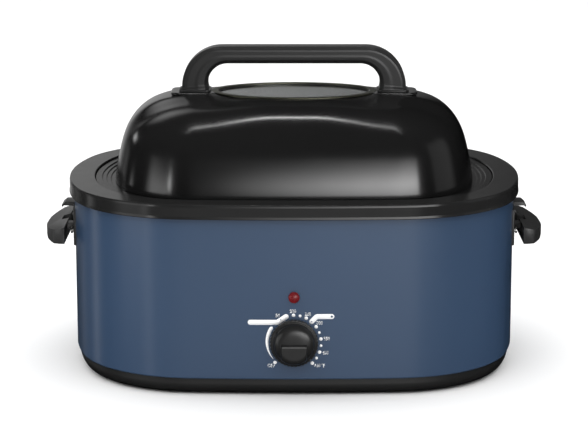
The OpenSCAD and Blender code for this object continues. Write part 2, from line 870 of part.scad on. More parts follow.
module heater_leads() {
  y_band = rear_y + band_in + band_t + 1.6;
  pocket_x = rear_pocket_w / 2 - 4;
  switched = concat(
    [[-tab_x - 4, stat_y1 - 9, tab_z], [-tab_x - 11, stat_y1 - 9, tab_z - 4],
     [-44, front_y + 12, feed_z + 6]],
    wall_run(-3, -(half_round - 3), feed_z),
    [[-pocket_x, rear_y - 14, feed_z + 12], [-pocket_x + 2, y_band, band_z + 4],
     [-band_gap / 2 - 4, y_band, band_z + 10]]
  );
  back = [
    [block_x - block_hole_x, block_y + 3, base_floor_z + block_hole_h],
    [block_x - block_hole_x, block_y + 14, base_floor_z + block_hole_h],
    [block_x - 12, block_y + 22, base_floor_z + 14], [pocket_x + 8, rear_y - 14, feed_z],
    [pocket_x, rear_y - 14, feed_z + 12], [pocket_x - 2, y_band, band_z + 4],
    [band_gap / 2 + 4, y_band, band_z + 10]
  ];
  color([0.90, 0.88, 0.82]) {
    tube(switched, lead_r);
    tube(back, lead_r);
  }
}

lamp_lead_r = 0.9;
// The leads' bow under the lamp, seen from its axis, and their way down beside the thermostat's tabs
lamp_bow = 14;
lamp_drop_z = knob_z + 16;
lamp_turn_x = tab_x + 9;
lamp_turn_z = tab_z + 11;
lamp_tab_y = stat_y1 - 7.6;

module lamp_leads() {
  color([0.75, 0.15, 0.12])
    for (s = [-1, 1])
      tube([
        [s * 3.4, holder_rear + 0.1, lamp_z], [s * 4, holder_rear + 2.6, lamp_z - 0.6],
        [s * 6.5, holder_rear + 4, lamp_z - 4], [s * lamp_bow, holder_rear + 3, lamp_z - lamp_bow],
        [s * (tab_x + 5), stat_y1 - 7, lamp_drop_z], [s * lamp_turn_x, lamp_tab_y, lamp_turn_z],
        [s * (tab_x + 7.6), lamp_tab_y, tab_z + 6], [s * (tab_x + 4.6), lamp_tab_y, tab_z + 3.1]
      ], lamp_lead_r);
}

// ---- Side handles, drawn on the +X side ----
grip_in_x = end_x + grip_reach - grip_w;
grip_out_x = end_x + grip_reach;
bracket_z = grip_z - 5;
ledge_top = bracket_z + bracket_h + 2;
ledge_t = 2.6;
ledge_drop = 5.4;
arm_y = 22;
arm_w = 12;
arm_h = 7;
end_corner = 6;

// Plan of the grip bar: straight inner edge, bowed outer edge, small end corners
function grip_plan() =
  let (half = grip_len / 2, r = (half * half + grip_bow * grip_bow) / (2 * grip_bow))
  let (span = asin((half - end_corner / 2) / r))
  concat(
    [[grip_in_x, half], [grip_in_x, -half], [grip_out_x - grip_bow - end_corner, -half]],
    [for (i = [0:12]) let (t = -span + 2 * span * i / 12) [grip_out_x - r + r * cos(t), r * sin(t)]],
    [[grip_out_x - grip_bow - end_corner, half]]
  );

module handle_bracket() {
  tip_x = end_x + ledge_reach;
  root_x = end_x - 6;
  tip_t = 1.6;
  color(black)
    difference() {
      union() {
        intersection() {
          plan_band(bracket_t, 0.1, bracket_z, bracket_z + bracket_h);
          block([0, -bracket_half, bracket_z], [end_x + 20, bracket_half, bracket_z + bracket_h]);
        }
        intersection() {
          translate([0, ledge_w / 2, 0])
            rotate([90, 0, 0])
              linear_extrude(ledge_w)
                polygon([
                  [root_x, ledge_top - ledge_t - 2], [tip_x - tip_t, ledge_top - ledge_t - 1.4],
                  [tip_x - tip_t, ledge_top - ledge_drop], [tip_x, ledge_top - ledge_drop],
                  [tip_x, ledge_top - 3.2], [tip_x - 4, ledge_top], [root_x, ledge_top]
                ]);
          plan_band(ledge_reach + 1, 0.1, ledge_top - ledge_drop - 1, ledge_top + 1);
        }
      }
      for (sy = [-1, 1])
        rod_x(sy * handle_screw_y, handle_screw_z, end_x - 12, end_x + 8, handle_screw_r + screw_clear);
    }
}

slot_w = 22;
slot_in = 8;

module handle_grip() {
  color(black)
    difference() {
      union() {
        intersection() {
          translate([0, 0, grip_z])
            linear_extrude(grip_inner_h + 1)
              polygon(grip_plan());
          translate([0, grip_len / 2 + 1, 0])
            rotate([90, 0, 0])
              linear_extrude(grip_len + 2)
                polygon([
                  [grip_in_x - 1, grip_z], [grip_out_x - 4, grip_z], [grip_out_x, grip_z + 4],
                  [grip_out_x, grip_z + grip_outer_h - 1.6], [grip_out_x - 1.6, grip_z + grip_outer_h],
                  [grip_in_x, grip_z + grip_inner_h], [grip_in_x - 1, grip_z + grip_inner_h]
                ]);
        }
        // two arms that bridge the gap to the bracket
        for (sy = [-1, 1])
          difference() {
            block([end_x - 10, sy * arm_y - arm_w / 2, grip_z + grip_inner_h - arm_h - 2],
              [grip_in_x + 1, sy * arm_y + arm_w / 2, grip_z + grip_inner_h - 2]);
            translate([0, 0, grip_z])
              linear_extrude(grip_inner_h + 5)
                polygon(plan(bracket_t + 0.1));
          }
      }
      // slot that holds the lid's edge while the lid stands on its side
      block([grip_in_x - 2, -slot_w / 2, grip_z + finger_hollow_h + 3],
        [grip_in_x + slot_in, slot_w / 2, grip_z + grip_inner_h + 1]);
      // finger hollow, open underneath
      block([grip_in_x + 4, -grip_len / 2 + 12, grip_z - 1],
        [grip_out_x - grip_bow - 1, grip_len / 2 - 12, grip_z + finger_hollow_h]);
    }
}

module handle_screws() {
  color(zinc)
    for (sy = [-1, 1]) {
      x = end_wall_x(handle_screw_y, 0);
      union() {
        rod_x(sy * handle_screw_y, handle_screw_z, x - 6, x + bracket_t + 0.6, handle_screw_r);
        rod_x(sy * handle_screw_y, handle_screw_z, x + bracket_t + 0.5,
          x + bracket_t + 0.5 + handle_head_h, handle_head_r);
      }
    }
}

module left_handle_bracket() { mirror([1, 0, 0]) handle_bracket(); }
module left_handle_grip() { mirror([1, 0, 0]) handle_grip(); }
module left_handle_screws() { mirror([1, 0, 0]) handle_screws(); }
module right_handle_bracket() { handle_bracket(); }
module right_handle_grip() { handle_grip(); }
module right_handle_screws() { handle_screws(); }

// ---- Roasting pan ----
pan_bead_t = 1.7;
pan_edge = 12;
rim_sheet = 1.6;

// The ledge's height, where the lid stands
rim_top = collar_top - 1.9;
lid_ledge_z = rim_top - 3 * rim_step_h;
rim_out = -collar_in - lift_clear;
step1 = rim_out - rim_flat_w;
step2 = step1 - rim_step_w - 0.4;
step3 = step2 - rim_step_w - 0.4;
pan_mouth = step3 - lid_ledge_w;
lid_in = lid_step_gap - step3;

module roasting_pan() {
  wall_out = pan_mouth + pan_t;
  foot_out = pan_mouth - pan_draft;
  foot_in = foot_out - pan_t;
  bead_z = seat_z + seat_clear;
  step1_z = rim_top - rim_step_h;
  step2_z = step1_z - rim_step_h;
  lean = 0.7;
  outside = concat(
    fillet([foot_out - pan_edge, pan_z + pan_edge], pan_edge, -90, 0, 3),
    [
      [wall_out, lid_ledge_z - rim_sheet], [step3 + rim_sheet - 0.4, lid_ledge_z - rim_sheet],
      [step3 + rim_sheet + 0.3, step2_z - rim_sheet], [step2 + rim_sheet - 0.4, step2_z - rim_sheet],
      [step2 + rim_sheet + 0.3, step1_z - rim_sheet], [step1 + rim_sheet - 0.4, step1_z - rim_sheet],
      [step1 + rim_sheet + 0.3, rim_top - rim_sheet], [rim_out - pan_bead_t, rim_top - rim_sheet],
      [rim_out - pan_bead_t, bead_z], [rim_out, bead_z], [rim_out, rim_top - lean],
      [rim_out - lean, rim_top], [step1, rim_top], [step1 - lean, step1_z],
      [step2, step1_z], [step2 - lean, step2_z], [step3, step2_z], [step3 - lean, lid_ledge_z],
      [pan_mouth + 0.8, lid_ledge_z], [pan_mouth, lid_ledge_z - 0.9]
    ]
  );
  inside = fillet([foot_in - pan_edge + pan_t, pan_z + pan_edge], pan_edge - pan_t, 0, -90, 3);
  color(satin_black)
    skin(plan_rings(concat(outside, inside)), false);
}

// ---- Rack ----
foot_edge_clear = 0.6;
rack_foot_x = 90;
rack_off = pan_mouth - pan_draft - pan_edge - frame_wire_d / 2 - foot_edge_clear;
rack_foot_h = 5;
rack_z = pan_z + pan_t + seat_clear + rack_foot_h + frame_wire_d / 2;
cross_z = rack_z + frame_wire_d / 2 + cross_wire_d / 2;
rack_a = body_w / 2 + rack_off;

module rack_frame() {
  r = frame_wire_d / 2;
  ring = [for (i = [0:5]) let (t = 60 * i + 30) [rack_off + r * cos(t), rack_z + r * sin(t)]];
  color(steel)
    union() {
      skin(plan_rings(ring), true);
      for (sx = [-1, 1]) for (sy = [-1, 1])
        rod_z(sx * rack_foot_x, sy * end_y_at(rack_foot_x, rack_off), rack_z - r - rack_foot_h, rack_z, r);
    }
}

// Half the depth of the plan moved out by off, at a given x under the front bow
function end_y_at(x, off) =
  sqrt(pow(front_bow_r + off, 2) - x * x) - (front_bow_r - body_d / 2);

module rack_cross_wires() {
  count = floor((rack_a - 50) / cross_pitch);
  color(steel)
    for (i = [-count:count]) {
      x = i * cross_pitch;
      y = cross_wire_reach(abs(x));
      rod_y(x, cross_z, -y, y, cross_wire_d / 2);
    }
}

// How far a cross wire at x runs before it meets the frame's centre line
function cross_wire_reach(x) =
  let (q = plan_quadrant(rack_off))
  let (hits = [for (i = [0:len(q) - 2]) if (q[i][0] <= x && q[i + 1][0] > x)
    -(q[i][1] + (q[i + 1][1] - q[i][1]) * (x - q[i][0]) / (q[i + 1][0] - q[i][0]))])
  hits[0];

module rack_lift_handles() {
  r = frame_wire_d / 2 - 0.3;
  y = rack_handle_w / 2;
  x = end_wall_x(y, rack_off);
  top = rack_z + rack_handle_h;
  bend = 14;
  path = concat(
    [[0, -y, rack_z + frame_wire_d / 2 + 0.1]],
    [for (i = [0:4]) let (t = 180 - 90 * i / 4) [0, -y + bend + bend * cos(t), top - bend + bend * sin(t)]],
    [for (i = [0:4]) let (t = 90 - 90 * i / 4) [0, y - bend + bend * cos(t), top - bend + bend * sin(t)]],
    [[0, y, rack_z + frame_wire_d / 2 + 0.1]]
  );
  color(steel)
    for (s = [-1, 1])
      tube([for (p = path) [s * x, p[1], p[2]]], r);
}

// ---- Lid ----
lid_z = lid_ledge_z + seat_clear;
crown_z = lid_z + lid_h;
window_z = crown_z + lid_crown_rise;
curve_steps = 8;

// Outer profile of the dome as [distance in from the lower edge, height]
function lid_profile() =
  let (lean = unit([lid_side_lean, lid_side_h]), start = [lid_side_lean, lid_side_h])
  let (stop = [lid_shoulder_w, lid_h])
  let (b = start + 32 * lean, c = stop - [37.7, 4.4])
  concat(
    [[0, 0], [lid_side_lean / 2, lid_side_h / 2]],
    [for (i = [0:curve_steps]) cubic(start, b, c, stop, i / curve_steps)]
  );

// One ring of the dome's skin, moved in by t and given as outline and height
function dome_rings(t) =
  let (p = lid_profile(), edge = plan(-lid_in - lid_shoulder_w - t))
  let (hole = oval_like_plan(window_a, window_b, -lid_in - lid_shoulder_w))
  concat(
    [for (s = p) let (share = dome_side_share(s))
      lift(plan(-lid_in - s[0] - t * share), lid_z + s[1] - t * (1 - share))],
    [lift(mix(edge, hole, 0.5), crown_z + lid_crown_rise * 0.6 - t), lift(hole, window_z - t)]
  );

// Share of the sheet's thickness that counts sideways: all of it low on the side, none on top
function dome_side_share(s) = pow(max(0, 1 - s[1] / lid_h), 0.35);

pad_a = 27;
pad_b = 25;
pad_t = 1.2;
leg_x = arch_reach - arch_leg_t / 2;

module lid_dome() {
  outer = dome_rings(0);
  inner = dome_rings(lid_t);
  m = len(inner);
  color(satin_black)
    difference() {
      union() {
        skin(concat(outer, [for (i = [m - 1:-1:0]) inner[i]]), true);
        for (s = [-1, 1])
          translate([s * leg_x, 0, crown_z - 1])
            linear_extrude(lid_crown_rise + 1 + pad_t)
              difference() {
                intersection() {
                  polygon(rounded_box(pad_a, pad_b, 8));
                  translate([-s * leg_x, 0]) polygon(plan(-lid_in - lid_shoulder_w + 14));
                }
                translate([-s * leg_x, 0])
                  polygon(oval(window_a + ring_flange + 0.6, window_b + ring_flange + 0.6));
              }
      }
      for (s = [-1, 1]) for (sy = [-1, 1])
        rod_z(s * leg_x, sy * arch_screw_y, lid_z + lid_h - 8, window_z + 5, screw_r + screw_clear);
    }
}

// A rectangle with half sides a and b and corner radius r
function rounded_box(a, b, r) = [
  for (k = [0:3]) for (i = [0:5])
    let (t = 90 * k + 90 * i / 5, sx = k == 0 || k == 3 ? 1 : -1, sy = k < 2 ? 1 : -1)
    [sx * (a - r) + r * cos(t), sy * (b - r) + r * sin(t)]
];

// ---- Window ----
ring_z = window_z + 0.15;
glass_clear = 0.4;
neck_clear = 1.8;
neck_a = window_a - neck_clear;
neck_b = window_b - neck_clear;
glass_a = neck_a - ring_t - glass_clear;
glass_b = neck_b - ring_t - glass_clear;
gasket_t = 0.8;
glass_top = ring_z - gasket_t - 0.1;

module window_ring() {
  crimp_z = glass_top - glass_t - 0.2;
  flange_a = window_a + ring_flange;
  flange_b = window_b + ring_flange;
  color([0.42, 0.42, 0.40])
    union() {
      oval_band(flange_a, flange_b, ring_flange + ring_lip, ring_z, ring_z + ring_t);
      oval_band(neck_a, neck_b, ring_t, crimp_z, ring_z + eps);
      oval_band(neck_a, neck_b, ring_lip, crimp_z - ring_t, crimp_z + eps);
    }
}

module window_gasket() {
  color(rubber_grey)
    oval_band(glass_a, glass_b, ring_lip - ring_t - 0.6, glass_top + 0.05, ring_z - 0.05);
}

module window_glass() {
  color([0.75, 0.85, 0.85, 0.35])
    translate([0, 0, glass_top - glass_t])
      linear_extrude(glass_t)
        polygon(oval(glass_a, glass_b));
}

// ---- Lid handle ----
arch_screw_y = 7;
leg_foot_z = window_z + pad_t + seat_pad_t;
arch_top = crown_z + arch_h + 1.6;
arch_under = arch_top - arch_bar_t;

// A ring of the bar between an outer and an inner edge point [x, z], with chamfered edges
function arch_ring(o, i, w, c) =
  let (dir = unit(i - o), a = o + c * dir, b = i - c * dir)
  [
    [o[0], w - c, o[1]], [o[0], c - w, o[1]], [a[0], -w, a[1]], [b[0], -w, b[1]],
    [i[0], c - w, i[1]], [i[0], w - c, i[1]], [b[0], w, b[1]], [a[0], w, a[1]]
  ];

function arch_half() =
  let (xo = arch_reach - arch_corner_r, zo = arch_top - arch_corner_r)
  let (xi = arch_reach - arch_leg_t - arch_inner_r, zi = arch_under - arch_inner_r)
  let (w = arch_depth / 2, c = arch_chamfer)
  concat(
    [arch_ring([arch_reach + 1, leg_foot_z], [arch_reach - arch_leg_t - 1, leg_foot_z], w + 1, c),
     arch_ring([arch_reach, leg_foot_z + 4], [arch_reach - arch_leg_t, leg_foot_z + 4], w, c)],
    [for (k = [0:6]) let (t = 90 * k / 6)
      arch_ring([xo + arch_corner_r * cos(t), zo + arch_corner_r * sin(t)],
        [xi + arch_inner_r * cos(t), zi + arch_inner_r * sin(t)], w, c)]
  );

module lid_handle() {
  half = arch_half();
  m = len(half);
  left = [for (k = [m - 1:-1:0]) [for (p = half[k]) [-p[0], p[1], p[2]]]];
  color(black)
    difference() {
      skin(concat(half, left), false);
      for (s = [-1, 1]) for (sy = [-1, 1])
        rod_z(s * leg_x, sy * arch_screw_y, leg_foot_z - 1, leg_foot_z + 13, screw_r + 0.05);
    }
}

module handle_seats() {
  color(black)
    for (s = [-1, 1])
      translate([s * leg_x, 0, window_z + pad_t])
        difference() {
          linear_extrude(seat_pad_t)
            polygon(rounded_box(arch_leg_t / 2 + 3, arch_depth / 2 + 4, 5));
          for (sy = [-1, 1])
            rod_z(0, sy * arch_screw_y, -1, seat_pad_t + 1, screw_r + screw_clear);
        }
}

arch_screw_in = 11;
arch_screw_head_r = 3.6;
arch_screw_head_h = 2;

module lid_handle_screws() {
  under = crown_z - lid_t - 0.4;
  color(zinc)
    for (s = [-1, 1]) for (sy = [-1, 1])
      union() {
        rod_z(s * leg_x, sy * arch_screw_y, under - arch_screw_head_h, under, arch_screw_head_r);
        rod_z(s * leg_x, sy * arch_screw_y, under - eps, leg_foot_z + arch_screw_in, screw_r);
      }
}

housing_wall();
rear_panel();
base_pan();
rubber_feet();
base_screws();
well_standoffs();
top_collar();
cooking_well();
heating_band();
band_clamp_screw();
insulation_blanket();
thermostat_bracket();
thermostat_body();
thermostat_screws();
lamp_lens();
lamp_holder();
neon_bulb();
cord_bushing();
terminal_block();
terminal_screws();
supply_leads();
heater_leads();
lamp_leads();
left_handle_bracket();
left_handle_grip();
left_handle_screws();
right_handle_bracket();
right_handle_grip();
right_handle_screws();
temperature_knob();
knob_spring_clip();
thermostat_shaft();
roasting_pan();
rack_frame();
rack_cross_wires();
rack_lift_handles();
lid_dome();
window_glass();
window_ring();
window_gasket();
lid_handle();
handle_seats();
lid_handle_screws();
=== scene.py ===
import json
import math

import bmesh
import bpy
import numpy as np
from bpy.props import FloatProperty, FloatVectorProperty, IntProperty, PointerProperty
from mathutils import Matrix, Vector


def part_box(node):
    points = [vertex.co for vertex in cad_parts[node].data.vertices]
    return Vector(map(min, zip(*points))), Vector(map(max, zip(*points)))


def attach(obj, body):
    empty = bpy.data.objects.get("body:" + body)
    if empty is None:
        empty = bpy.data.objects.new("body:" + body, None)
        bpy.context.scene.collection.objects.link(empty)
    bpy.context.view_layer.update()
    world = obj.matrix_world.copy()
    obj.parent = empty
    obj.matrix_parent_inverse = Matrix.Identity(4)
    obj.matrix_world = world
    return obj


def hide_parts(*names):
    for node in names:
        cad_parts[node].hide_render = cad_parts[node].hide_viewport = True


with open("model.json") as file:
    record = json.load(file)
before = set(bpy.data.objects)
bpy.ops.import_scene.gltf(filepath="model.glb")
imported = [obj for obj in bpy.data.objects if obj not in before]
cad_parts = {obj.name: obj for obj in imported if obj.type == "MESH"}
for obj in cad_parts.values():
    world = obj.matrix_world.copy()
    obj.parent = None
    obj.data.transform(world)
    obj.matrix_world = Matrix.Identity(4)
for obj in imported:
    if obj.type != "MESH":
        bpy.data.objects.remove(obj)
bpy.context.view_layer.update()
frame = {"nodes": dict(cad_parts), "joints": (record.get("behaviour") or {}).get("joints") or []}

bl_info = {
    "name": "Roaster Oven Dressing",
    "version": (1, 0, 0),
    "blender": (4, 5, 0),
    "location": "View3D > Sidebar > Roaster Oven",
    "description": "Builds the smooth shells, the finishes and the studio of a countertop roaster oven",
    "category": "Object",
}

MM = 0.001
NODES = frame["nodes"]
# In millimetres: the offset of a floor's innermost parallel outline, which its flat middle fills, and how far
# the feet of the lid's handle widen
INNERMOST, FLARE = -105, 1.0


def box_mm(node):
    """Lowest and highest corner of a CAD node, in millimetres."""
    low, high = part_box(node)
    return np.array(low) / MM, np.array(high) / MM


def length(name, description, millimetres):
    """A length property. Its default is given in millimetres."""
    return FloatProperty(name=name, description=description, default=millimetres * MM, unit="LENGTH")


def colour(name, description, red, green, blue):
    """A colour property. Its default is given as display values from 0 to 255."""
    linear = [((c / 255 + 0.055) / 1.055) ** 2.4 if c > 10 else c / 255 / 12.92 for c in (red, green, blue)]
    return FloatVectorProperty(
        name=name, description=description, subtype="COLOR", size=3, default=linear, min=0, max=1
    )


# ---- Sizes and colours that a user would change ----


class BodySizes(bpy.types.PropertyGroup):
    front_bow: length("Front bow", "Radius of the gentle bow of the front and rear walls", 1750)
    end_bow: length("End bow", "Radius of the bow of the two end walls", 300)
    corner: length("Corner", "Radius of the body's corners", 135)
    wall: length("Wall", "Thickness of the painted steel wall", 1)
    seam: length("Seam", "Distance of each rear seam from the middle", 70)
    hem: length("Hem", "Width of the hem folded inwards at the bottom of the wall", 8)
    base_inset: length("Base inset", "How far the base stands back from the painted wall", 3)
    base_edge: length("Base edge", "Radius of the base's rounded lower edge", 12)
    collar_top: length("Collar top", "Width of the collar's flat top, inwards from the wall", 23.2)
    collar_edge: length("Collar edge", "Radius of the collar's upper outer edge", 0.8)
    well_gap: length("Well gap", "Distance from the wall to the outside of the well", 34)


class PanSizes(bpy.types.PropertyGroup):
    sheet: length("Sheet", "Thickness of the pan's sheet", 1.4)
    draft: length("Draft", "How far the pan's wall leans in from mouth to floor", 11.6)
    floor_edge: length("Floor edge", "Radius between the pan's wall and floor", 12)
    rim_flat: length("Rim flat", "Width of the flat top of the rim", 7.4)
    step_width: length("Step width", "Width of each step between the rim's top and the ledge", 4.4)
    step_drop: length("Step drop", "Drop of each of the three steps", 1.1)
    ledge: length("Ledge", "Width of the ledge that the lid stands on", 8.6)


class LidSizes(bpy.types.PropertyGroup):
    inset: length("Inset", "Distance from the wall line to the lid's lower edge", 46)
    side: length("Side", "Height of the lid's side below the shoulder", 42)
    lean: length("Lean", "How far the side leans in over that height", 8)
    dome: length("Dome", "Height from the lower edge to the crown's edge", 95)
    shoulder: length("Shoulder", "Width of side and shoulder seen from above", 72)
    corner_drop: length("Corner drop", "How far the crown's four corners fall below its middle", 6.5)
    sheet: length("Sheet", "Thickness of the lid's sheet", 1.2)
    hole_x: length("Window half width", "Half the window's opening along the width", 88.3)
    hole_y: length("Window half depth", "Half the window's opening along the depth", 56.3)
    pad_x: length("Pad half width", "Half the width of the raised pad under each handle leg", 27)
    pad_y: length("Pad half depth", "Half the depth of the raised pad under each handle leg", 25)
    pad_rise: length("Pad rise", "Height of the raised pad", 1.2)


class HandleSizes(bpy.types.PropertyGroup):
    bar: length("Bar", "Thickness of the bar seen from the front", 19.2)
    leg: length("Leg", "Thickness of each leg seen from the front", 29)
    outer_corner: length("Outer corner", "Radius of the outer corners", 45)
    inner_corner: length("Inner corner", "Radius of the inner corners", 22)
    chamfer: length("Chamfer", "Width of the chamfer along the edges", 4)
    moulded_edge: length("Moulded edge", "Radius on the edges of the side grips", 0.9)


class KnobSizes(bpy.types.PropertyGroup):
    skirt: length("Skirt", "Radius of the fluted skirt", 25.7)
    skirt_height: length("Skirt height", "Height of the skirt's front above the wall", 6.1)
    cap: length("Cap", "Radius of the domed cap", 21.5)
    reach: length("Reach", "How far the cap stands out from the wall", 20)
    flutes: IntProperty(
        name="Flutes", description="Number of flutes round the skirt", default=40, min=8, max=60
    )
    grip: length("Grip", "How far the finger grip stands out from the cap's dome", 4.5)
    grip_width: length("Grip width", "Width of the finger grip", 27)
    grip_drop: length("Grip drop", "Distance of the foot of the grip's slope below the axis", -1.3)
    grip_slope: length("Grip slope", "Width of the grip's sloped upper face", 1)
    ring: length("Dial ring", "Radius of the ring of dots round the knob", 28.8)
    figures: length("Figures", "Height of the dial's figures", 3.7)


class Finishes(bpy.types.PropertyGroup):
    paint: colour("Paint", "Blue enamel of the wall", 49, 70, 97)
    moulding: colour("Moulding", "Black plastic of collar, base and handles", 30, 30, 30)
    enamel: colour("Enamel", "Black enamel of lid and pan", 22, 22, 22)
    print: colour("Print", "White print round the knob", 253, 254, 255)
    lens: colour("Lens", "Red of the signal lamp", 138, 22, 30)
    ring: colour("Ring", "Window ring's steel", 116, 116, 100)
    floor: colour("Floor", "Studio floor", 246, 246, 246)


class StageSizes(bpy.types.PropertyGroup):
    elevation: FloatProperty(
        name="Elevation", description="How far the camera looks down", default=math.radians(12.61),
        subtype="ANGLE",
    )
    distance: length("Distance", "From the camera to the point it looks at", 2453)
    look_height: length("Look height", "Height of the point the camera looks at", 130)
    lens: FloatProperty(
        name="Lens", description="Focal length on a 36 mm sensor, in millimetres", default=131.9
    )
    rise: FloatProperty(name="Rise", description="Upward shift as a share of the width", default=19.1 / 588)


# ---- Outlines ----


def rounded(corners, steps=5, hold=0.5):
    """Joins corner points (u, v, radius) by straight lines with a tangent arc at each corner.

    An arc starts radius * tan(turn / 2) before its corner and its points turn evenly about its centre. A
    straight that is long enough has a point near each end, so that smooth shading keeps it flat.
    """
    corners = np.array(corners, float)
    spots, radii = corners[:, :2], corners[:, 2]
    path = [spots[:1]]
    for k in range(1, len(spots) - 1):
        before = spots[k] - spots[k - 1]
        after = spots[k + 1] - spots[k]
        before, after = before / np.hypot(*before), after / np.hypot(*after)
        cross = before[0] * after[1] - before[1] * after[0]
        turn = math.atan2(abs(cross), before @ after)
        side = math.copysign(1, cross)
        start = spots[k] - before * radii[k] * math.tan(turn / 2)
        centre = start + side * radii[k] * np.array([-before[1], before[0]])
        angles = side * np.linspace(0, turn, steps + 1)[:, None]
        arm = start - centre
        turned = np.array([-arm[1], arm[0]])
        path.append(centre + arm * np.cos(angles) + turned * np.sin(angles))
    path.append(spots[-1:])
    full = [path[0]]
    for last, following in zip(path, path[1:]):
        gap = following[0] - last[-1]
        size = np.hypot(*gap)
        if size > 4 * hold:
            full.append(np.array([last[-1] + gap * hold / size, following[0] - gap * hold / size]))
        full.append(following)
    return np.vstack(full)


class Plan:
    """The body's outline seen from above: front, rear and end arcs, joined by tangent corner arcs.

    A parallel outline keeps each arc's centre and adds the offset to its radius, so that every point moves
    along its own normal: point = start + offset * normal. columns is the number of points on a quarter's
    front, corner and end arc.
    """

    def __init__(self, sizes, columns=(12, 24, 10)):
        low, high = box_mm("housing_wall")
        self.half_x, self.half_y = high[0], -low[1]
        self.bow = sizes.front_bow / MM
        bow, end_bow, corner = sizes.front_bow / MM, sizes.end_bow / MM, sizes.corner / MM
        front = np.array([0, bow - self.half_y])
        end = np.array([self.half_x - end_bow, 0])
        gap = np.hypot(*(end - front))
        way = (end - front) / gap
        along = ((bow - corner) ** 2 - (end_bow - corner) ** 2 + gap**2) / (2 * gap)
        across = math.sqrt((bow - corner) ** 2 - along**2)
        centre = front + along * way + across * np.array([-way[1], way[0]])
        first = math.atan2(*(centre - front)[::-1])
        second = math.atan2(*(centre - end)[::-1])
        spans = (
            (front, bow, -math.pi / 2, first), (centre, corner, first, second), (end, end_bow, second, 0),
        )
        spots, normals = [], []
        for (middle, radius, start, stop), count in zip(spans, columns):
            angles = np.linspace(start, stop, count, endpoint=False)
            turned = np.stack([np.cos(angles), np.sin(angles)], -1)
            spots.append(middle + radius * turned)
            normals.append(turned)
        self.spots = self.whole(np.vstack(spots), (self.half_x, 0))
        self.normals = self.whole(np.vstack(normals), (1, 0))

    @staticmethod
    def whole(quadrant, tip):
        """A quarter from the front centre to the right tip, mirrored into the whole outline."""
        half = np.vstack([quadrant, [tip], quadrant[:0:-1] * (1, -1)])
        return np.vstack([half, -half])

    def ring(self, offset):
        """The outline moved out by offset."""
        return self.spots + offset * self.normals

    def rear(self, xs):
        """Points of the rear arc and their normals at the given x."""
        side = np.asarray(xs, float) / self.bow
        normals = np.stack([side, np.sqrt(1 - side**2)], -1)
        return normals * self.bow - (0, self.bow - self.half_y), normals

    def around(self, half):
        """Points and normals from (-half) round the front to (+half), leaving out the rear between them."""
        start = len(self.spots) // 2
        spots, normals = np.roll(self.spots, -start, 0), np.roll(self.normals, -start, 0)
        keep = (spots[:, 1] < 0) | (np.abs(spots[:, 0]) > half + 0.5)
        ends, end_normals = self.rear([-half, half])
        pairs = ((ends, spots), (end_normals, normals))
        return tuple(np.vstack([edge[:1], inner[keep], edge[1:]]) for edge, inner in pairs)

    def loft(self, outline, line=None):
        """Grid of points: each (offset, height) of the outline is a parallel outline at that height.

        line gives other points and normals to follow than the whole outline's.
        """
        offset, height = np.asarray(outline, float).T
        spots, normals = line or (self.spots, self.normals)
        flat = spots[None] + offset[:, None, None] * normals[None]
        return np.dstack([flat, np.broadcast_to(height[:, None], flat.shape[:2])])

    def floor(self, height, rings=5):
        """Grid that closes the innermost outline: it shrinks evenly to a point in the middle."""
        share = np.linspace(1, 0, rings + 1)[:, None, None]
        flat = share * self.ring(INNERMOST)[None]
        return np.dstack([flat, np.full(flat.shape[:2], float(height))])

    def tub(self, outline):
        """A vessel's shell: the outline runs from under the floor's middle round to its upper side."""
        shell = Shell().grid(self.loft(outline))
        return shell.grid(self.floor(outline[0, 1])).grid(self.floor(outline[-1, 1]))


def oval(half_x, half_y, angles):
    """Points of an ellipse at the given angles."""
    return np.stack([half_x * np.cos(angles), half_y * np.sin(angles)], -1)


def level(spots, height):
    """Flat points (count, 2) placed at a height."""
    return np.column_stack([spots, np.full(len(spots), height)])


def bezier(points, count):
    """Points of a cubic curve from points[0] to points[3] with handles points[1] and points[2]."""
    a, b, c, d = np.array(points, float)
    t = np.linspace(0, 1, count)[:, None]
    return a * (1 - t) ** 3 + b * 3 * t * (1 - t) ** 2 + c * 3 * t**2 * (1 - t) + d * t**3


def smooth(x):
    """Rises from 0 to 1 as x goes from 0 to 1: 3x^2 - 2x^3."""
    x = np.clip(x, 0, 1)
    return x * x * (3 - 2 * x)


def soft_min(a, b, width):
    """The smaller of a and b, rounded where they are within width of each other."""
    blend = np.clip(0.5 + 0.5 * (b - a) / width, 0, 1)
    return b * (1 - blend) + a * blend - width * blend * (1 - blend)


# ---- Meshes ----


class Shell:
    """Collects grids of points, in millimetres, into one mesh. Points that coincide are merged."""

    def __init__(self):
        self.points, self.quads, self.count = [], [], 0

    def grid(self, rows, wrap=True, ring=False):
        """Joins neighbouring points by quads. wrap joins the last column to the first, ring the last row."""
        rows = np.asarray(rows, float)
        index = np.arange(rows.shape[0] * rows.shape[1]).reshape(rows.shape[:2]) + self.count
        if wrap:
            index = np.hstack([index, index[:, :1]])
        if ring:
            index = np.vstack([index, index[:1]])
        quads = np.stack([index[:-1, :-1], index[:-1, 1:], index[1:, 1:], index[1:, :-1]], -1)
        self.points.append(rows.reshape(-1, 3))
        self.quads.append(quads.reshape(-1, 4))
        self.count += rows.shape[0] * rows.shape[1]
        return self

    def build(self, name, fill=False):
        """The collected grids as an object."""
        mesh = bpy.data.meshes.new(name)
        points = np.vstack(self.points) * MM
        mesh.from_pydata(points.tolist(), [], np.vstack(self.quads).tolist())
        return closed_object(name, mesh, fill)


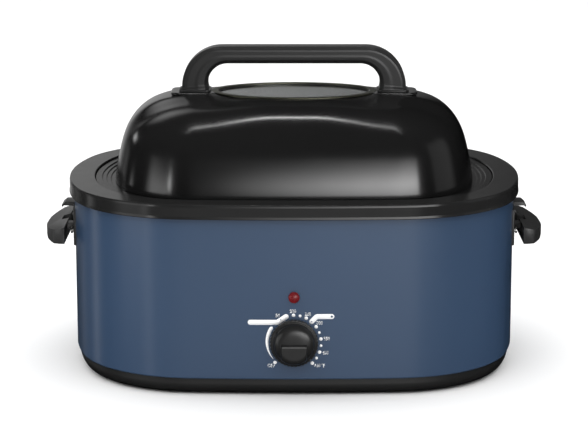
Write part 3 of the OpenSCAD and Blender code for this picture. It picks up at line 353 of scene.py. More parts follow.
def closed_object(name, mesh, fill=False):
    """An object with that mesh: doubles merged, open ends filled if asked, faces outwards and smooth."""
    work = bmesh.new()
    work.from_mesh(mesh)
    bmesh.ops.remove_doubles(work, verts=work.verts, dist=1e-6)
    bmesh.ops.dissolve_degenerate(work, edges=work.edges, dist=1e-7)
    if fill:
        bmesh.ops.holes_fill(work, edges=work.edges)
    bmesh.ops.recalc_face_normals(work, faces=work.faces)
    return_smooth(work, mesh)
    piece = bpy.data.objects.new(name, mesh)
    bpy.context.scene.collection.objects.link(piece)
    return piece


def return_smooth(work, mesh):
    """Writes the worked faces back into the mesh and shades them smooth."""
    work.to_mesh(mesh)
    work.free()
    mesh.polygons.foreach_set("use_smooth", [True] * len(mesh.polygons))
    mesh.update()


def settle(piece, material, body, slot, *nodes):
    """Gives a piece its finish, its body and the CAD nodes that it stands for, which it hides. The slot
    argument is not used.
    """
    piece.data.materials.append(material)
    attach(piece, body)
    if nodes:
        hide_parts(*nodes)
    return piece


def dress(material, *nodes):
    """Gives CAD nodes that keep their own shape a finish."""
    for node in nodes:
        slots = NODES[node].material_slots
        if not slots:
            NODES[node].data.materials.append(material)
        for one in slots:
            one.material = material


def softened(name, node, width, angle=25):
    """A copy of a CAD node with its loose triangles merged and its edges rounded."""
    mesh = NODES[node].data.copy()
    mesh.materials.clear()
    piece = closed_object(name, mesh)
    work = bmesh.new()
    work.from_mesh(mesh)
    bmesh.ops.dissolve_limit(work, angle_limit=math.radians(0.5), verts=work.verts, edges=work.edges)
    return_smooth(work, mesh)
    bevel = piece.modifiers.new("edges", "BEVEL")
    bevel.width = width * MM
    bevel.segments = 3
    bevel.limit_method = "ANGLE"
    bevel.angle_limit = math.radians(angle)
    bevel.use_clamp_overlap = True
    bevel.harden_normals = True
    return piece


# ---- Shader maths ----


class Value:
    """A shader socket that sums and products can be written with."""

    def __init__(self, tree, socket):
        self.tree, self.socket = tree, socket

    def join(self, operation, *others):
        """The result of a Math node on values or numbers."""
        node = self.tree.nodes.new("ShaderNodeMath")
        node.operation = operation
        for place, other in enumerate(others):
            if isinstance(other, Value):
                self.tree.links.new(other.socket, node.inputs[place])
            else:
                node.inputs[place].default_value = other
        return Value(self.tree, node.outputs[0])

    def __add__(self, other):
        return self.join("ADD", self, other)

    def __sub__(self, other):
        return self.join("SUBTRACT", self, other)

    def __rsub__(self, other):
        return self.join("SUBTRACT", other, self)

    def __mul__(self, other):
        return self.join("MULTIPLY", self, other)

    def __truediv__(self, other):
        return self.join("DIVIDE", self, other)

    __radd__ = __add__
    __rmul__ = __mul__

    def within(self):
        """The value kept between 0 and 1."""
        return self.join("MAXIMUM", self.join("MINIMUM", self, 1.0), 0.0)


class Graph:
    """A shader tree that nodes are added to."""

    def __init__(self, tree):
        self.tree = tree

    def put(self, target, value):
        """Gives a socket a constant, or links it to a value."""
        if isinstance(value, Value):
            self.tree.links.new(value.socket, target)
        elif target.type == "RGBA":
            target.default_value = (*value, 1)
        else:
            target.default_value = value

    def node(self, kind, output=0, settings=(), stops=(), **sockets):
        """Any node: its settings are set first, then a ramp's stops, then its sockets."""
        node = self.tree.nodes.new(kind)
        for key, value in dict(settings).items():
            setattr(node, key, value)
        for place, (at, grey) in enumerate(stops):
            ramp = node.color_ramp.elements
            stop = ramp[place] if place < 2 else ramp.new(at)
            stop.position, stop.color = at, (grey, grey, grey, 1)
        for key, value in sockets.items():
            self.put(node.inputs[key.replace("_", " ")], value)
        return Value(self.tree, node.outputs[output])


class Finish(Graph):
    """A material with one principled shader, whose sockets are set by name."""

    def __init__(self, name, **sockets):
        self.material = bpy.data.materials.new(name)
        self.material.use_nodes = True
        super().__init__(self.material.node_tree)
        self.shader = self.tree.nodes["Principled BSDF"]
        self.place = self.node("ShaderNodeTexCoord", output="Object")
        for socket, value in sockets.items():
            self.set(socket.replace("_", " "), value)

    def set(self, socket, value):
        """Gives one of the shader's own sockets its value."""
        self.put(self.shader.inputs[socket], value)

    def noise(self, scale, detail=2.0, roughness=0.5, stretch=(1, 1, 1)):
        """Smooth noise from 0 to 1; scale is in waves per metre, and stretch squeezes it along an axis."""
        place = self.node("ShaderNodeMapping", Vector=self.place, Scale=stretch)
        return self.node("ShaderNodeTexNoise", Vector=place, Scale=scale, Detail=detail, Roughness=roughness)

    def cells(self, scale):
        """Distance to the nearest of many scattered points, in cell widths."""
        return self.node("ShaderNodeTexVoronoi", Vector=self.place, Scale=scale)

    def ramp(self, value, *stops):
        """Grey that follows the stops (position, grey)."""
        return self.node("ShaderNodeValToRGB", stops=stops, Fac=value)

    def tint(self, factor, first, second):
        """Mixes two colours by factor."""
        node = self.tree.nodes.new("ShaderNodeMix")
        node.data_type = "RGBA"
        self.put(node.inputs["Factor"], factor)
        for letter, paint in (("A", first), ("B", second)):
            self.put(next(i for i in node.inputs if i.name == letter and i.type == "RGBA"), paint)
        return Value(self.tree, next(o for o in node.outputs if o.type == "RGBA"))

    def emboss(self, height, strength=0.2, distance=0.1):
        """Lets a height, in units of distance millimetres, tilt the light."""
        bump = self.node("ShaderNodeBump", Height=height, Strength=strength, Distance=distance * MM)
        self.set("Normal", bump)
        return self


def shade(colour, factor):
    """A colour made lighter or darker."""
    return tuple(min(1, c * factor) for c in colour[:3])


def painted(name, colour, roughness):
    """Sprayed enamel: an even colour with a faint cloud, fine orange peel and a glossy coat."""
    finish = Finish(name, Coat_Weight=0.3, Coat_Roughness=0.2, Specular_IOR_Level=0.45)
    cloud = finish.noise(6, detail=3)
    finish.set("Base Color", finish.tint(cloud, shade(colour, 0.96), shade(colour, 1.04)))
    finish.set("Roughness", roughness + 0.05 * finish.noise(40))
    peel = finish.noise(900, detail=2) + 0.5 * finish.noise(2600, detail=1)
    return finish.emboss(peel, 0.10, 0.06).material


def moulded(name, colour, roughness, grain=1800, depth=0.16, shine=0.5):
    """Injection-moulded plastic: a fine spark-eroded grain and a faint sheen that varies."""
    finish = Finish(name, Specular_IOR_Level=shine)
    patch = finish.noise(14, detail=3)
    finish.set("Base Color", finish.tint(patch, shade(colour, 0.9), shade(colour, 1.1)))
    finish.set("Roughness", roughness - 0.04 + 0.08 * finish.noise(55, detail=3))
    height = finish.noise(grain, detail=2) + 0.6 * finish.cells(grain * 1.3)
    return finish.emboss(height, depth, 0.05).material


def enamelled(name, colour, roughness, flecks=0.0, coat=0.3, shine=0.5):
    """Vitreous enamel: nearly black, with soft orange peel and, where asked, tiny grey flecks."""
    finish = Finish(name, Coat_Weight=coat, Coat_Roughness=0.12, Specular_IOR_Level=shine)
    cloud = finish.noise(9, detail=2)
    base = finish.tint(cloud, shade(colour, 0.9), shade(colour, 1.12))
    if flecks:
        spots = finish.ramp(finish.cells(520), (0.05, 1), (0.11, 0))
        few = finish.ramp(finish.noise(210, detail=1), (0.56, 0), (0.62, 1))
        base = finish.tint(spots * few * flecks, base, (0.34, 0.34, 0.35))
    finish.set("Base Color", base)
    finish.set("Roughness", roughness + 0.05 * finish.noise(30, detail=3))
    peel = finish.noise(420, detail=2) + 0.35 * finish.noise(1500, detail=1)
    return finish.emboss(peel, 0.06, 0.05).material


def metal(name, colour, roughness, grain=(1, 1, 60)):
    """Bare or plated metal with a faint drawn grain along one direction."""
    finish = Finish(name, Metallic=1.0)
    streaks = finish.noise(120, detail=3, stretch=grain)
    finish.set("Base Color", finish.tint(streaks, shade(colour, 0.86), shade(colour, 1.06)))
    finish.set("Roughness", roughness - 0.06 + 0.14 * streaks)
    return finish.emboss(streaks, 0.08, 0.02).material


def matt(name, colour, roughness, scale=300, contrast=0.12, depth=0.2):
    """Rubber, ceramic, mica, fibre or wire covering: mottled and rough."""
    finish = Finish(name)
    mottle = finish.noise(scale, detail=4, roughness=0.6)
    finish.set("Base Color", finish.tint(mottle, shade(colour, 1 - contrast), shade(colour, 1 + contrast)))
    finish.set("Roughness", roughness - 0.05 + 0.1 * mottle)
    return finish.emboss(mottle, depth, 0.1).material


def clear(name, colour, roughness, weight):
    """Glass or clear plastic with faint waviness."""
    finish = Finish(
        name, Transmission_Weight=weight, IOR=1.47, Base_Color=colour, Specular_IOR_Level=0.25
    )
    wave = finish.noise(25, detail=1)
    finish.set("Roughness", roughness + 0.02 * wave)
    return finish.emboss(wave, 0.03, 0.05).material


# ---- Pieces ----


class PieceOperator(bpy.types.Operator):
    """What the roaster's operators share"""

    bl_options = {"REGISTER", "UNDO"}


class ROASTER_OT_housing(PieceOperator):
    """Painted wall with its folded hem, and the panel that closes it at the rear"""

    bl_idname = "roaster.housing"
    bl_label = "Painted Wall"

    def execute(self, context):
        sizes, finishes = context.scene.roaster_body, context.scene.roaster_finishes
        low, high = box_mm("housing_wall")
        wall, hem = sizes.wall / MM, sizes.hem / MM
        outline = rounded([
            (-wall, high[2], 0), (0, high[2], 0.3), (0, low[2], 1.4), (-hem, low[2], 0.3),
            (-hem, low[2] + wall, 0.3), (-wall, low[2] + wall, 0.6), (-wall, high[2], 0),
        ])
        outline = subdivide(outline[:-1], 12)
        plan, seam = Plan(sizes), sizes.seam / MM
        wrap = Shell().grid(plan.loft(outline, plan.around(seam)), wrap=False, ring=True)
        paint = painted("blue_enamel_paint", finishes.paint, 0.28)
        settle(wrap.build("painted_wall", fill=True), paint, "housing", "blue_paint", "housing_wall")
        dress(paint, "rear_panel")
        return {"FINISHED"}


def subdivide(outline, spacing):
    """Adds points to the straights of an outline so that none is longer than spacing."""
    parts = []
    for here, there in zip(outline, np.roll(outline, -1, axis=0)):
        count = max(1, int(np.hypot(*(there - here)) / spacing))
        parts.append(here + (there - here) * np.linspace(0, 1, count, endpoint=False)[:, None])
    return np.vstack(parts)


class ROASTER_OT_base(PieceOperator):
    """Black base tray with its rounded lower edge"""

    bl_idname = "roaster.base"
    bl_label = "Base"

    def execute(self, context):
        sizes, finishes = context.scene.roaster_body, context.scene.roaster_finishes
        low, high = box_mm("base_pan")
        wall_low = box_mm("housing_wall")[0]
        hem_gap, wall_gap, skin = 0.15, 0.02, 2.4
        outer, inner = -sizes.base_inset / MM, -sizes.wall / MM - sizes.hem / MM - hem_gap
        floor, shoulder = low[2] + skin, wall_low[2] - wall_gap
        outline = rounded([
            (INNERMOST, low[2], 0), (outer, low[2], sizes.base_edge / MM), (outer, shoulder, 0.5),
            (inner, shoulder, 0.2), (inner, high[2], 0.4), (inner - skin, high[2], 0.4),
            (inner - skin, floor, 4), (INNERMOST, floor, 0),
        ], steps=8)
        plastic = moulded("black_base_plastic", finishes.moulding, 0.42)
        tray = Plan(sizes).tub(outline).build("base_tray")
        settle(tray, plastic, "housing", "black_moulding", "base_pan")
        return {"FINISHED"}


class ROASTER_OT_collar(PieceOperator):
    """Moulded collar round the top of the body"""

    bl_idname = "roaster.collar"
    bl_label = "Collar"

    def execute(self, context):
        sizes, finishes = context.scene.roaster_body, context.scene.roaster_finishes
        low, high = box_mm("top_collar")
        out = high[0] - box_mm("housing_wall")[1][0]
        inner, edge, skin = -sizes.collar_top / MM, sizes.collar_edge / MM, 2.2
        wall_gap, lip, ledge = 0.3, 1.5, 6.5
        seat = box_mm("roasting_pan")[1][2] - 4.8
        # The outer face stands back by set_back, between narrow slanted strips at its lower and upper edge
        set_back, strip, lean = 0.45, 3.0, 1.1
        outline = rounded([
            (wall_gap, low[2] + lip, 0), (wall_gap, low[2], 0.2), (out, low[2], 0.4),
            (out, low[2] + 0.7, 0.3), (out - set_back, low[2] + strip, 0.2),
            (out - set_back, high[2] - strip, 0.2),
            (out - 0.7 * lean, high[2] - 1.4, 0.2), (out - lean, high[2], edge),
            (inner, high[2], 1.1), (inner, seat, 0.5), (inner - ledge, seat, 0.4),
            (inner - ledge, seat - skin, 0.4), (inner + skin, seat - skin, 0.5),
            (inner + skin, high[2] - skin, 0.6), (out - skin, high[2] - skin, 0.8),
            (out - skin, low[2] + lip, 0.3), (wall_gap, low[2] + lip, 0),
        ])
        shell = Shell().grid(Plan(sizes).loft(outline[:-1]), ring=True)
        # Painted light: the collar's black is made 1.1 times as light as the moulding colour, standing in for
        # light that the lid's shade keeps from it.
        black = shade(finishes.moulding, 1.1)
        plastic = moulded("black_collar_plastic_painted_lighter", black, 0.18, depth=0.08, shine=0.28)
        settle(shell.build("collar"), plastic, "housing", "black_moulding", "top_collar")
        return {"FINISHED"}


class ROASTER_OT_well(PieceOperator):
    """Steel well that holds the pan"""

    bl_idname = "roaster.well"
    bl_label = "Cooking Well"

    def execute(self, context):
        sizes = context.scene.roaster_body
        low, high = box_mm("cooking_well")
        outer, sheet, edge, flange = -sizes.well_gap / MM, 1, 12, 9.2
        outline = rounded([
            (INNERMOST, low[2], 0), (outer, low[2], edge), (outer, high[2] - sheet, 0.4),
            (outer + flange, high[2] - sheet, 0.2), (outer + flange, high[2], 0.2),
            (outer - sheet, high[2], 1.2), (outer - sheet, low[2] + sheet, edge - sheet),
            (INNERMOST, low[2] + sheet, 0),
        ], steps=8)
        steel = metal("drawn_well_steel", (0.56, 0.56, 0.55), 0.36)
        well = Plan(sizes).tub(outline).build("cooking_well_shell")
        settle(well, steel, "housing", "bare_steel", "cooking_well")
        return {"FINISHED"}


class ROASTER_OT_pan(PieceOperator):
    """Enamelled roasting pan with its stepped rim"""

    bl_idname = "roaster.pan"
    bl_label = "Roasting Pan"

    def execute(self, context):
        sizes, finishes = context.scene.roaster_pan, context.scene.roaster_finishes
        low, high = box_mm("roasting_pan")
        rim = high[0] - box_mm("housing_wall")[1][0]
        slant, under, turned_edge = 0.4, 1.6, 1.7
        width, drop, sheet = sizes.step_width / MM + slant, sizes.step_drop / MM, sizes.sheet / MM
        steps = rim - sizes.rim_flat / MM - width * np.arange(3)
        tops = high[2] - drop * np.arange(4)
        mouth = steps[2] - sizes.ledge / MM
        foot, edge, bead = mouth - sizes.draft / MM, sizes.floor_edge / MM, high[2] - 4.4
        below, above = [], []
        for place, upper, lower in zip(steps, tops, tops[1:]):
            below = [(place + under, lower - under, 0.3), (place + under, upper - under, 0.3), *below]
            above += [(place, upper, 0.6), (place - slant, lower, 0.5)]
        outline = rounded([
            (INNERMOST, low[2], 0), (foot, low[2], edge), (mouth + sheet, tops[3] - under, 0.8), *below,
            (rim - turned_edge, tops[0] - under, 0.3), (rim - turned_edge, bead, 0.2), (rim, bead, 0.4),
            (rim, tops[0], 0.9), *above, (mouth, tops[3], 1.2), (foot - sheet, low[2] + sheet, edge - sheet),
            (INNERMOST, low[2] + sheet, 0),
        ], steps=6)
        enamel = enamelled("pan_enamel_black", finishes.enamel, 0.24, flecks=0.5, coat=0.1, shine=0.4)
        pan = Plan(context.scene.roaster_body).tub(outline).build("roasting_pan_shell")
        settle(pan, enamel, "pan", "pan_enamel", "roasting_pan")
        return {"FINISHED"}


class ROASTER_OT_lid(PieceOperator):
    """Domed lid with the raised pads under its handle"""

    bl_idname = "roaster.lid"
    bl_label = "Domed Lid"

    def execute(self, context):
        sizes, finishes = context.scene.roaster_lid, context.scene.roaster_finishes
        plan = Plan(context.scene.roaster_body)
        outer, inner = dome(plan, sizes, 0), dome(plan, sizes, sizes.sheet / MM)
        shell = Shell().grid(np.concatenate([outer, inner[::-1]]), ring=True)
        leg_middle = box_mm("lid_handle")[1][0] - FLARE - context.scene.roaster_handles.leg / MM / 2
        for side in (-1, 1):
            raised_pad(shell, sizes, side * leg_middle)
        enamel = enamelled("lid_enamel_black", finishes.enamel, 0.16)
        settle(shell.build("lid_shell"), enamel, "lid", "lid_enamel", "lid_dome")
        return {"FINISHED"}


def dome(plan, sizes, depth):
    """Rings of the dome's skin, depth millimetres in from the outside.

    The side leans in by lean * (height / side)^power, and a cubic curve turns it into the crown. The crown's
    rings change evenly from the body's outline to the window's oval, while their height follows a curve that
    leaves the shoulder with no kink. The four corners then fall smoothly below the middle, by corner_drop.
    """
    low = box_mm("lid_dome")[0][2]
    side, lean = sizes.side / MM, sizes.lean / MM
    height, width, inset = sizes.dome / MM, sizes.shoulder / MM, sizes.inset / MM
    power, pull, crown_pull, crown_rise = 1.35, 32, np.array([37.7, 4.4]), 1.3
    slope = crown_pull[1] / crown_pull[0]
    start, stop = np.array([lean, side]), np.array([width, height])
    away = pull * np.array([power * lean, side]) / math.hypot(power * lean, side)
    curve = bezier([start, start + away, stop - crown_pull, stop], 34)
    rise_up = np.linspace(0, 1, 12)[1:-1]
    wall = np.stack([lean * rise_up**power, side * rise_up], -1)
    lower_edge = [(0.45, 0), (0.1, 0.15), (0, 0.5), (0.05, 1)]
    profile = np.vstack([lower_edge, wall, curve])
    step = np.gradient(profile, axis=0)
    normal = np.stack([step[:, 1], -step[:, 0]], -1)
    normal /= np.hypot(*normal.T)[:, None]
    moved = profile + depth * normal
    moved[0, 1] = 0.0
    rows = plan.loft(np.stack([-inset - moved[:, 0], low + moved[:, 1]], -1))
    edge = plan.ring(-inset - width - depth * slope)
    outline = plan.ring(-inset - width)
    angles = np.arctan2(*(outline / outline.max(0)).T[::-1])
    hole = oval(sizes.hole_x / MM, sizes.hole_y / MM, angles)
    t = np.linspace(0, 1, 15)[1:, None, None]
    flat = edge * (1 - t) + hole * t
    reach = np.hypot(*(hole - edge).T)[None]
    t = t[..., 0]
    climb = (t**3 - 2 * t**2 + t) * slope * reach + (3 * t**2 - 2 * t**3) * crown_rise
    crown = np.dstack([flat, low + height - depth + climb])
    skin = np.concatenate([rows, crown])
    # Along x, y and z: where the corners' fall starts, and the distance over which it grows to its full share
    share, base = 1.0, np.array([0, 0, low])
    for axis, (begin, span) in enumerate(((24, 112), (24, 40), (50, 40))):
        share = share * smooth((np.abs(skin[..., axis] - base[axis]) - begin) / span)
    skin[..., 2] -= sizes.corner_drop / MM * share
    return skin


def raised_pad(shell, sizes, centre):
    """A low plate with sloped edges, pressed up round x = centre, where a handle leg stands.

    Its outline's corners are rounded: x and y go as the cosine and sine to the power 0.34, with their signs.
    """
    high, rise = box_mm("lid_dome")[1][2], sizes.pad_rise / MM
    angles = np.linspace(0, 2 * math.pi, 97)[:-1]
    circle = np.stack([np.cos(angles), np.sin(angles)], -1)
    outline = np.sign(circle) * np.abs(circle) ** 0.34
    half = np.array([sizes.pad_x, sizes.pad_y]) / MM
    edge = (
        (-2.2, -rise - 3.4), (0, -rise - 0.9), (0.25, -rise - 0.1), (0, -0.9), (-0.6, -0.35), (-1.3, -0.1),
        (-2.2, 0), (-6, 0),
    )
    rows = []
    for grow, height in edge:
        spread = outline * (half + grow)
        rows.append(level(spread + (centre, 0), high + height))
    rows = np.array(rows)
    middle = np.array([centre, 0, 0])
    bottom = middle + (rows[:1] - middle) * (0, 0, 1)
    top = middle + (rows[-1:] - middle) * (0, 0, 1)
    shell.grid(np.concatenate([bottom, rows, top]))


class ROASTER_OT_window(PieceOperator):
    """Oval glass window and its steel ring"""

    bl_idname = "roaster.window"
    bl_label = "Window"

    def execute(self, context):
        finishes = context.scene.roaster_finishes
        angles = np.linspace(0, 2 * math.pi, 161)[:-1]
        low, high = box_mm("window_ring")
        width, neck_out, neck_in = 8.5, 7.7, 6.5
        under = high[2] - 1.2
        outline = rounded([
            (0, under, 0), (0, high[2], 1.0), (-width, high[2], 0.8), (-width, under, 0.2),
            (-neck_out, under, 0.1), (-neck_out, low[2], 0.2), (-neck_in, low[2], 0.2),
            (-neck_in, under, 0.2), (0, under, 0),
        ], steps=4, hold=0.2)
        rows = [level(oval(high[0] + o, high[1] + o, angles), z) for o, z in outline[:-1]]
        steel = metal("ring_steel_satin", finishes.ring, 0.34, grain=(1, 1, 1))
        ring = Shell().grid(rows, ring=True).build("window_ring_shell")
        settle(ring, steel, "lid", "ring_steel", "window_ring")
        low, high = box_mm("window_glass")
        rim = 30
        edge = rounded([
            (-rim, low[2], 0), (0, low[2], 0.5), (0, high[2], 0.7), (-rim, high[2], 0),
        ], steps=4, hold=0.3)
        rows = [level(oval(high[0] + o, high[1] + o, angles), z) for o, z in edge]
        lower, upper = (level(np.zeros((len(angles), 2)), z) for z in (low[2], high[2]))
        glass = clear("window_glass_clear", (0.6, 0.64, 0.63), 0.02, 1.0)
        pane = Shell().grid([lower, *rows, upper]).build("window_pane")
        settle(pane, glass, "lid", "window_glass", "window_glass")
        return {"FINISHED"}


class ROASTER_OT_lid_handle(PieceOperator):
    """Arch handle on the lid, and the seats under its legs"""

    bl_idname = "roaster.lid_handle"
    bl_label = "Lid Handle"

    def execute(self, context):
        sizes, finishes = context.scene.roaster_handles, context.scene.roaster_finishes
        # Painted light: the handle and its seats take a black 1.6 times as light as the moulding colour, so
        # that their faces look more brightly lit.
        black = shade(finishes.moulding, 1.6)
        plastic = moulded("black_handle_plastic_painted_lighter", black, 0.24, depth=0.08, shine=0.3)
        settle(arch(sizes).build("arch_handle"), plastic, "lid", "handle_plastic", "lid_handle")
        seats = softened("handle_seat_pads", "handle_seats", 0.6)
        settle(seats, plastic, "lid", "handle_plastic", "handle_seats")
        return {"FINISHED"}


def arch(sizes):
    """The arch: a chamfered section carried up one leg, round a corner, along the bar and down again.

    Each station has an outer and an inner edge point, and the section is stretched between them. The outer
    and the inner corner are quarter circles with their own centres, so the bar thins towards its middle. The
    feet flare out to all sides.
    """
    low, high = box_mm("lid_handle")
    reach, depth, top, foot = high[0] - FLARE, high[1] - FLARE, high[2], low[2]
    bar, leg, chamfer = sizes.bar / MM, sizes.leg / MM, sizes.chamfer / MM
    outer_r, inner_r = sizes.outer_corner / MM, sizes.inner_corner / MM
    turn = np.linspace(0, math.pi / 2, 25)[:, None]
    circle = np.hstack([np.cos(turn), np.sin(turn)])
    outer = np.array([reach - outer_r, top - outer_r]) + outer_r * circle
    inner = np.array([reach - leg - inner_r, top - bar - inner_r]) + inner_r * circle
    rise = np.array([0, 0.35, 1.2, 2.6, 4.2, 6, 7])[:, None] / 7
    flare = FLARE * (1 - smooth(rise)) * (1, 0)
    below = 0.5
    leg_outer = np.array([reach, foot]) + flare + rise * (0, outer[0, 1] - foot - below)
    leg_inner = np.array([reach - leg, foot]) - flare + rise * (0, inner[0, 1] - foot - below)
    share = np.linspace(0, 1, 12)[1:, None]
    bar_outer = outer[-1] * (1 - share) + np.array([0, top]) * share
    bar_inner = inner[-1] * (1 - share) + np.array([0, top - bar]) * share
    outer = np.vstack([leg_outer, outer, bar_outer])
    inner = np.vstack([leg_inner, inner, bar_inner])
    grow = np.concatenate([flare[:, 0], np.zeros(len(outer) - len(flare))])
    mirrored = (-1, 1)
    outer = np.vstack([outer, outer[-2::-1] * mirrored])
    inner = np.vstack([inner, inner[-2::-1] * mirrored])
    grow = np.concatenate([grow, grow[-2::-1]])
    c, soft, slant, strip = chamfer, 0.8, 0.25, 1.9
    # Half of the section as (distance in, y). Distances above 50 count from the inner edge at 100. Next to
    # the outer chamfer a narrow slanted strip catches the light, and points in between carry the step.
    half = rounded([
        (0, 0, 0), (0, depth - c, soft), (c - slant, depth - slant, 0.4), (c + strip, depth, 0.8),
        (100 - c, depth, 1.6), (100, depth - c, soft), (100, 0, 0),
    ], steps=4, hold=0.5)
    along, across = half.T
    share, shift = np.where(along > 50, 1.0, 0.0), np.where(along > 50, along - 100, along)
    cut = np.argmax(along > 50)
    mids = np.array([0.34, 0.42, 0.46, 0.49, 0.52, 0.55, 0.58, 0.61, 0.64, 0.7])
    share, shift, across = (
        np.insert(part, cut, extra)
        for part, extra in ((share, mids), (shift, 0 * mids), (across, depth + 0 * mids))
    )
    share, shift = (np.concatenate([part, part[-2:0:-1]]) for part in (share, shift))
    across = np.concatenate([across, -across[-2:0:-1]])
    span = np.hypot(*(inner - outer).T)
    way = (inner - outer) / span[:, None]
    reach_in = share * span[:, None] + shift
    flat = outer[:, None] + way[:, None] * reach_in[..., None]
    # The front and rear faces are recessed above a soft step and lean back below it
    step_at, step_span, step_depth, lean = 0.62, 0.14, 0.25, 1.5
    place = reach_in / span[:, None] - step_at
    recess = step_depth * smooth(-place / step_span) + lean * np.maximum(0, place - 0.02)
    on_face = np.abs(across) > depth - c - 0.1
    y = (across - np.sign(across) * recess * on_face) * (1 + grow[:, None] / depth)
    rows = np.dstack([flat[..., 0], y, flat[..., 1]])
    ends = [np.repeat(rows[k].mean(0)[None, None], rows.shape[1], 1) for k in (0, -1)]
    return Shell().grid(np.concatenate([ends[0], rows, ends[1]]))


class ROASTER_OT_side_handles(PieceOperator):
    """Side grips and their brackets, with rounded edges"""

    bl_idname = "roaster.side_handles"
    bl_label = "Side Handles"

    def execute(self, context):
        sizes, finishes = context.scene.roaster_handles, context.scene.roaster_finishes
        # Painted light: grips and brackets take a black 2.2 times as light as the moulding colour, so that
        # their tops look more brightly lit.
        black = shade(finishes.moulding, 2.2)
        plastic = moulded("black_grip_plastic_painted_lighter", black, 0.34, depth=0.14, shine=0.45)
        for side in ("left", "right"):
            for part, edge in (("grip", sizes.moulded_edge / MM), ("bracket", 0.5)):
                node = f"{side}_handle_{part}"
                settle(softened(f"{side}_{part}", node, edge), plastic, "housing", "black_moulding", node)
        return {"FINISHED"}


class ROASTER_OT_knob(PieceOperator):
    """Temperature knob: fluted skirt, rings and domed cap with its finger grip"""

    bl_idname = "roaster.knob"
    bl_label = "Temperature Knob"

    def execute(self, context):
        sizes, finishes = context.scene.roaster_knob, context.scene.roaster_finishes
        plastic = moulded("black_knob_plastic", finishes.moulding, 0.3, grain=2600, depth=0.07)
        settle(knob(sizes).build("dial_knob"), plastic, "knob", "knob_plastic", "temperature_knob")
        return {"FINISHED"}


def knob_axis():
    """Height of the knob's axis, in millimetres."""
    turn = next(joint for joint in frame["joints"] if joint["name"] == "knob_turn")
    return turn["pos_m"][2] / MM


def knob(sizes):
    """The knob as rings about its axis, from the back over the fluted edge to the cap's middle.

    A flute is a shallow hollow, so the skirt's radius is cut by the part of a circle that reaches into it.
    Both domes rise by (1 - (r / cap)^power)^share from the cap's edge. The finger grip is the lower part of
    the fuller and higher dome, cut flat in front. A slope leads up to it, a narrow slanted strip catches the
    light at its upper edge, and its sides are blended over a short distance.
    """
    wall_y = box_mm("housing_wall")[0][1]
    bore, wall_gap, ring_h, cap_h = 3.6, 0.9, 0.9, 2.6
    flute_r, flute_out = 1.15, 0.45
    strip, strip_lean, blend = 1.8, 0.21, 0.7
    skirt, skirt_h, cap, reach = (v / MM for v in (sizes.skirt, sizes.skirt_height, sizes.cap, sizes.reach))
    grip, half_grip = sizes.grip / MM, sizes.grip_width / MM / 2
    drop, slope = sizes.grip_drop / MM, sizes.grip_slope / MM
    count = sizes.flutes * 8
    angles = np.arange(count) * 2 * math.pi / count
    arc = (angles * sizes.flutes / (2 * math.pi) + 0.5) % 1 - 0.5
    chord = arc * 2 * math.pi * skirt / sizes.flutes
    flute = np.maximum(0, np.sqrt(np.maximum(0, flute_r**2 - chord**2)) - flute_out)
    base = skirt_h + cap_h
    back = rounded([
        (bore, wall_gap, 0), (skirt, wall_gap, 0.4), (skirt, skirt_h, 0.9), (skirt - 2, skirt_h, 0.4),
        (skirt - 2.2, skirt_h + ring_h, 0.4), (cap + 1, skirt_h + ring_h, 0.3),
        (cap + 0.8, skirt_h + 2, 0.4), (cap, base, 0.3),
    ], steps=4, hold=0.25)
    turn = np.radians(np.linspace(0, 62, 30))[1:]
    dome_edge = cap * np.cos(turn) ** 0.45
    radii = np.concatenate([back[:, 0], dome_edge, np.linspace(dome_edge[-1], 0, 76)[1:]])
    edge = smooth((radii - skirt + 1.4) / 1.2) * (radii > skirt - 2)
    r = radii[:, None] - flute[None] * edge[:, None]
    x, z = r * np.cos(angles), r * np.sin(angles)
    near = np.clip(radii / cap, 0, 1)
    low_dome = (base + (reach - grip - base) * (1 - near ** (1 / 0.3)) ** 0.5)[:, None]
    high_dome = (base + (reach + 0.5 - base) * (1 - near ** (2 / 0.3)) ** 0.4)[:, None]
    front = reach - strip_lean * np.clip(z + drop + slope + strip, 0, strip)
    climb = soft_min(reach - grip + (-drop - z) * grip / slope, front, 0.2)
    side = smooth((half_grip + blend / 2 - np.abs(x)) / blend)
    grown = np.minimum(soft_min(high_dome, climb, 0.25), front)
    h = low_dome + side * np.maximum(0, grown - low_dome)
    h[: len(back)] = back[:, 1:]
    rows = np.dstack([x, wall_y - h, knob_axis() + z])
    closing = np.repeat(np.array([[[0.0, wall_y - wall_gap, knob_axis()]]]), count, 1)
    return Shell().grid(np.concatenate([closing, rows]))


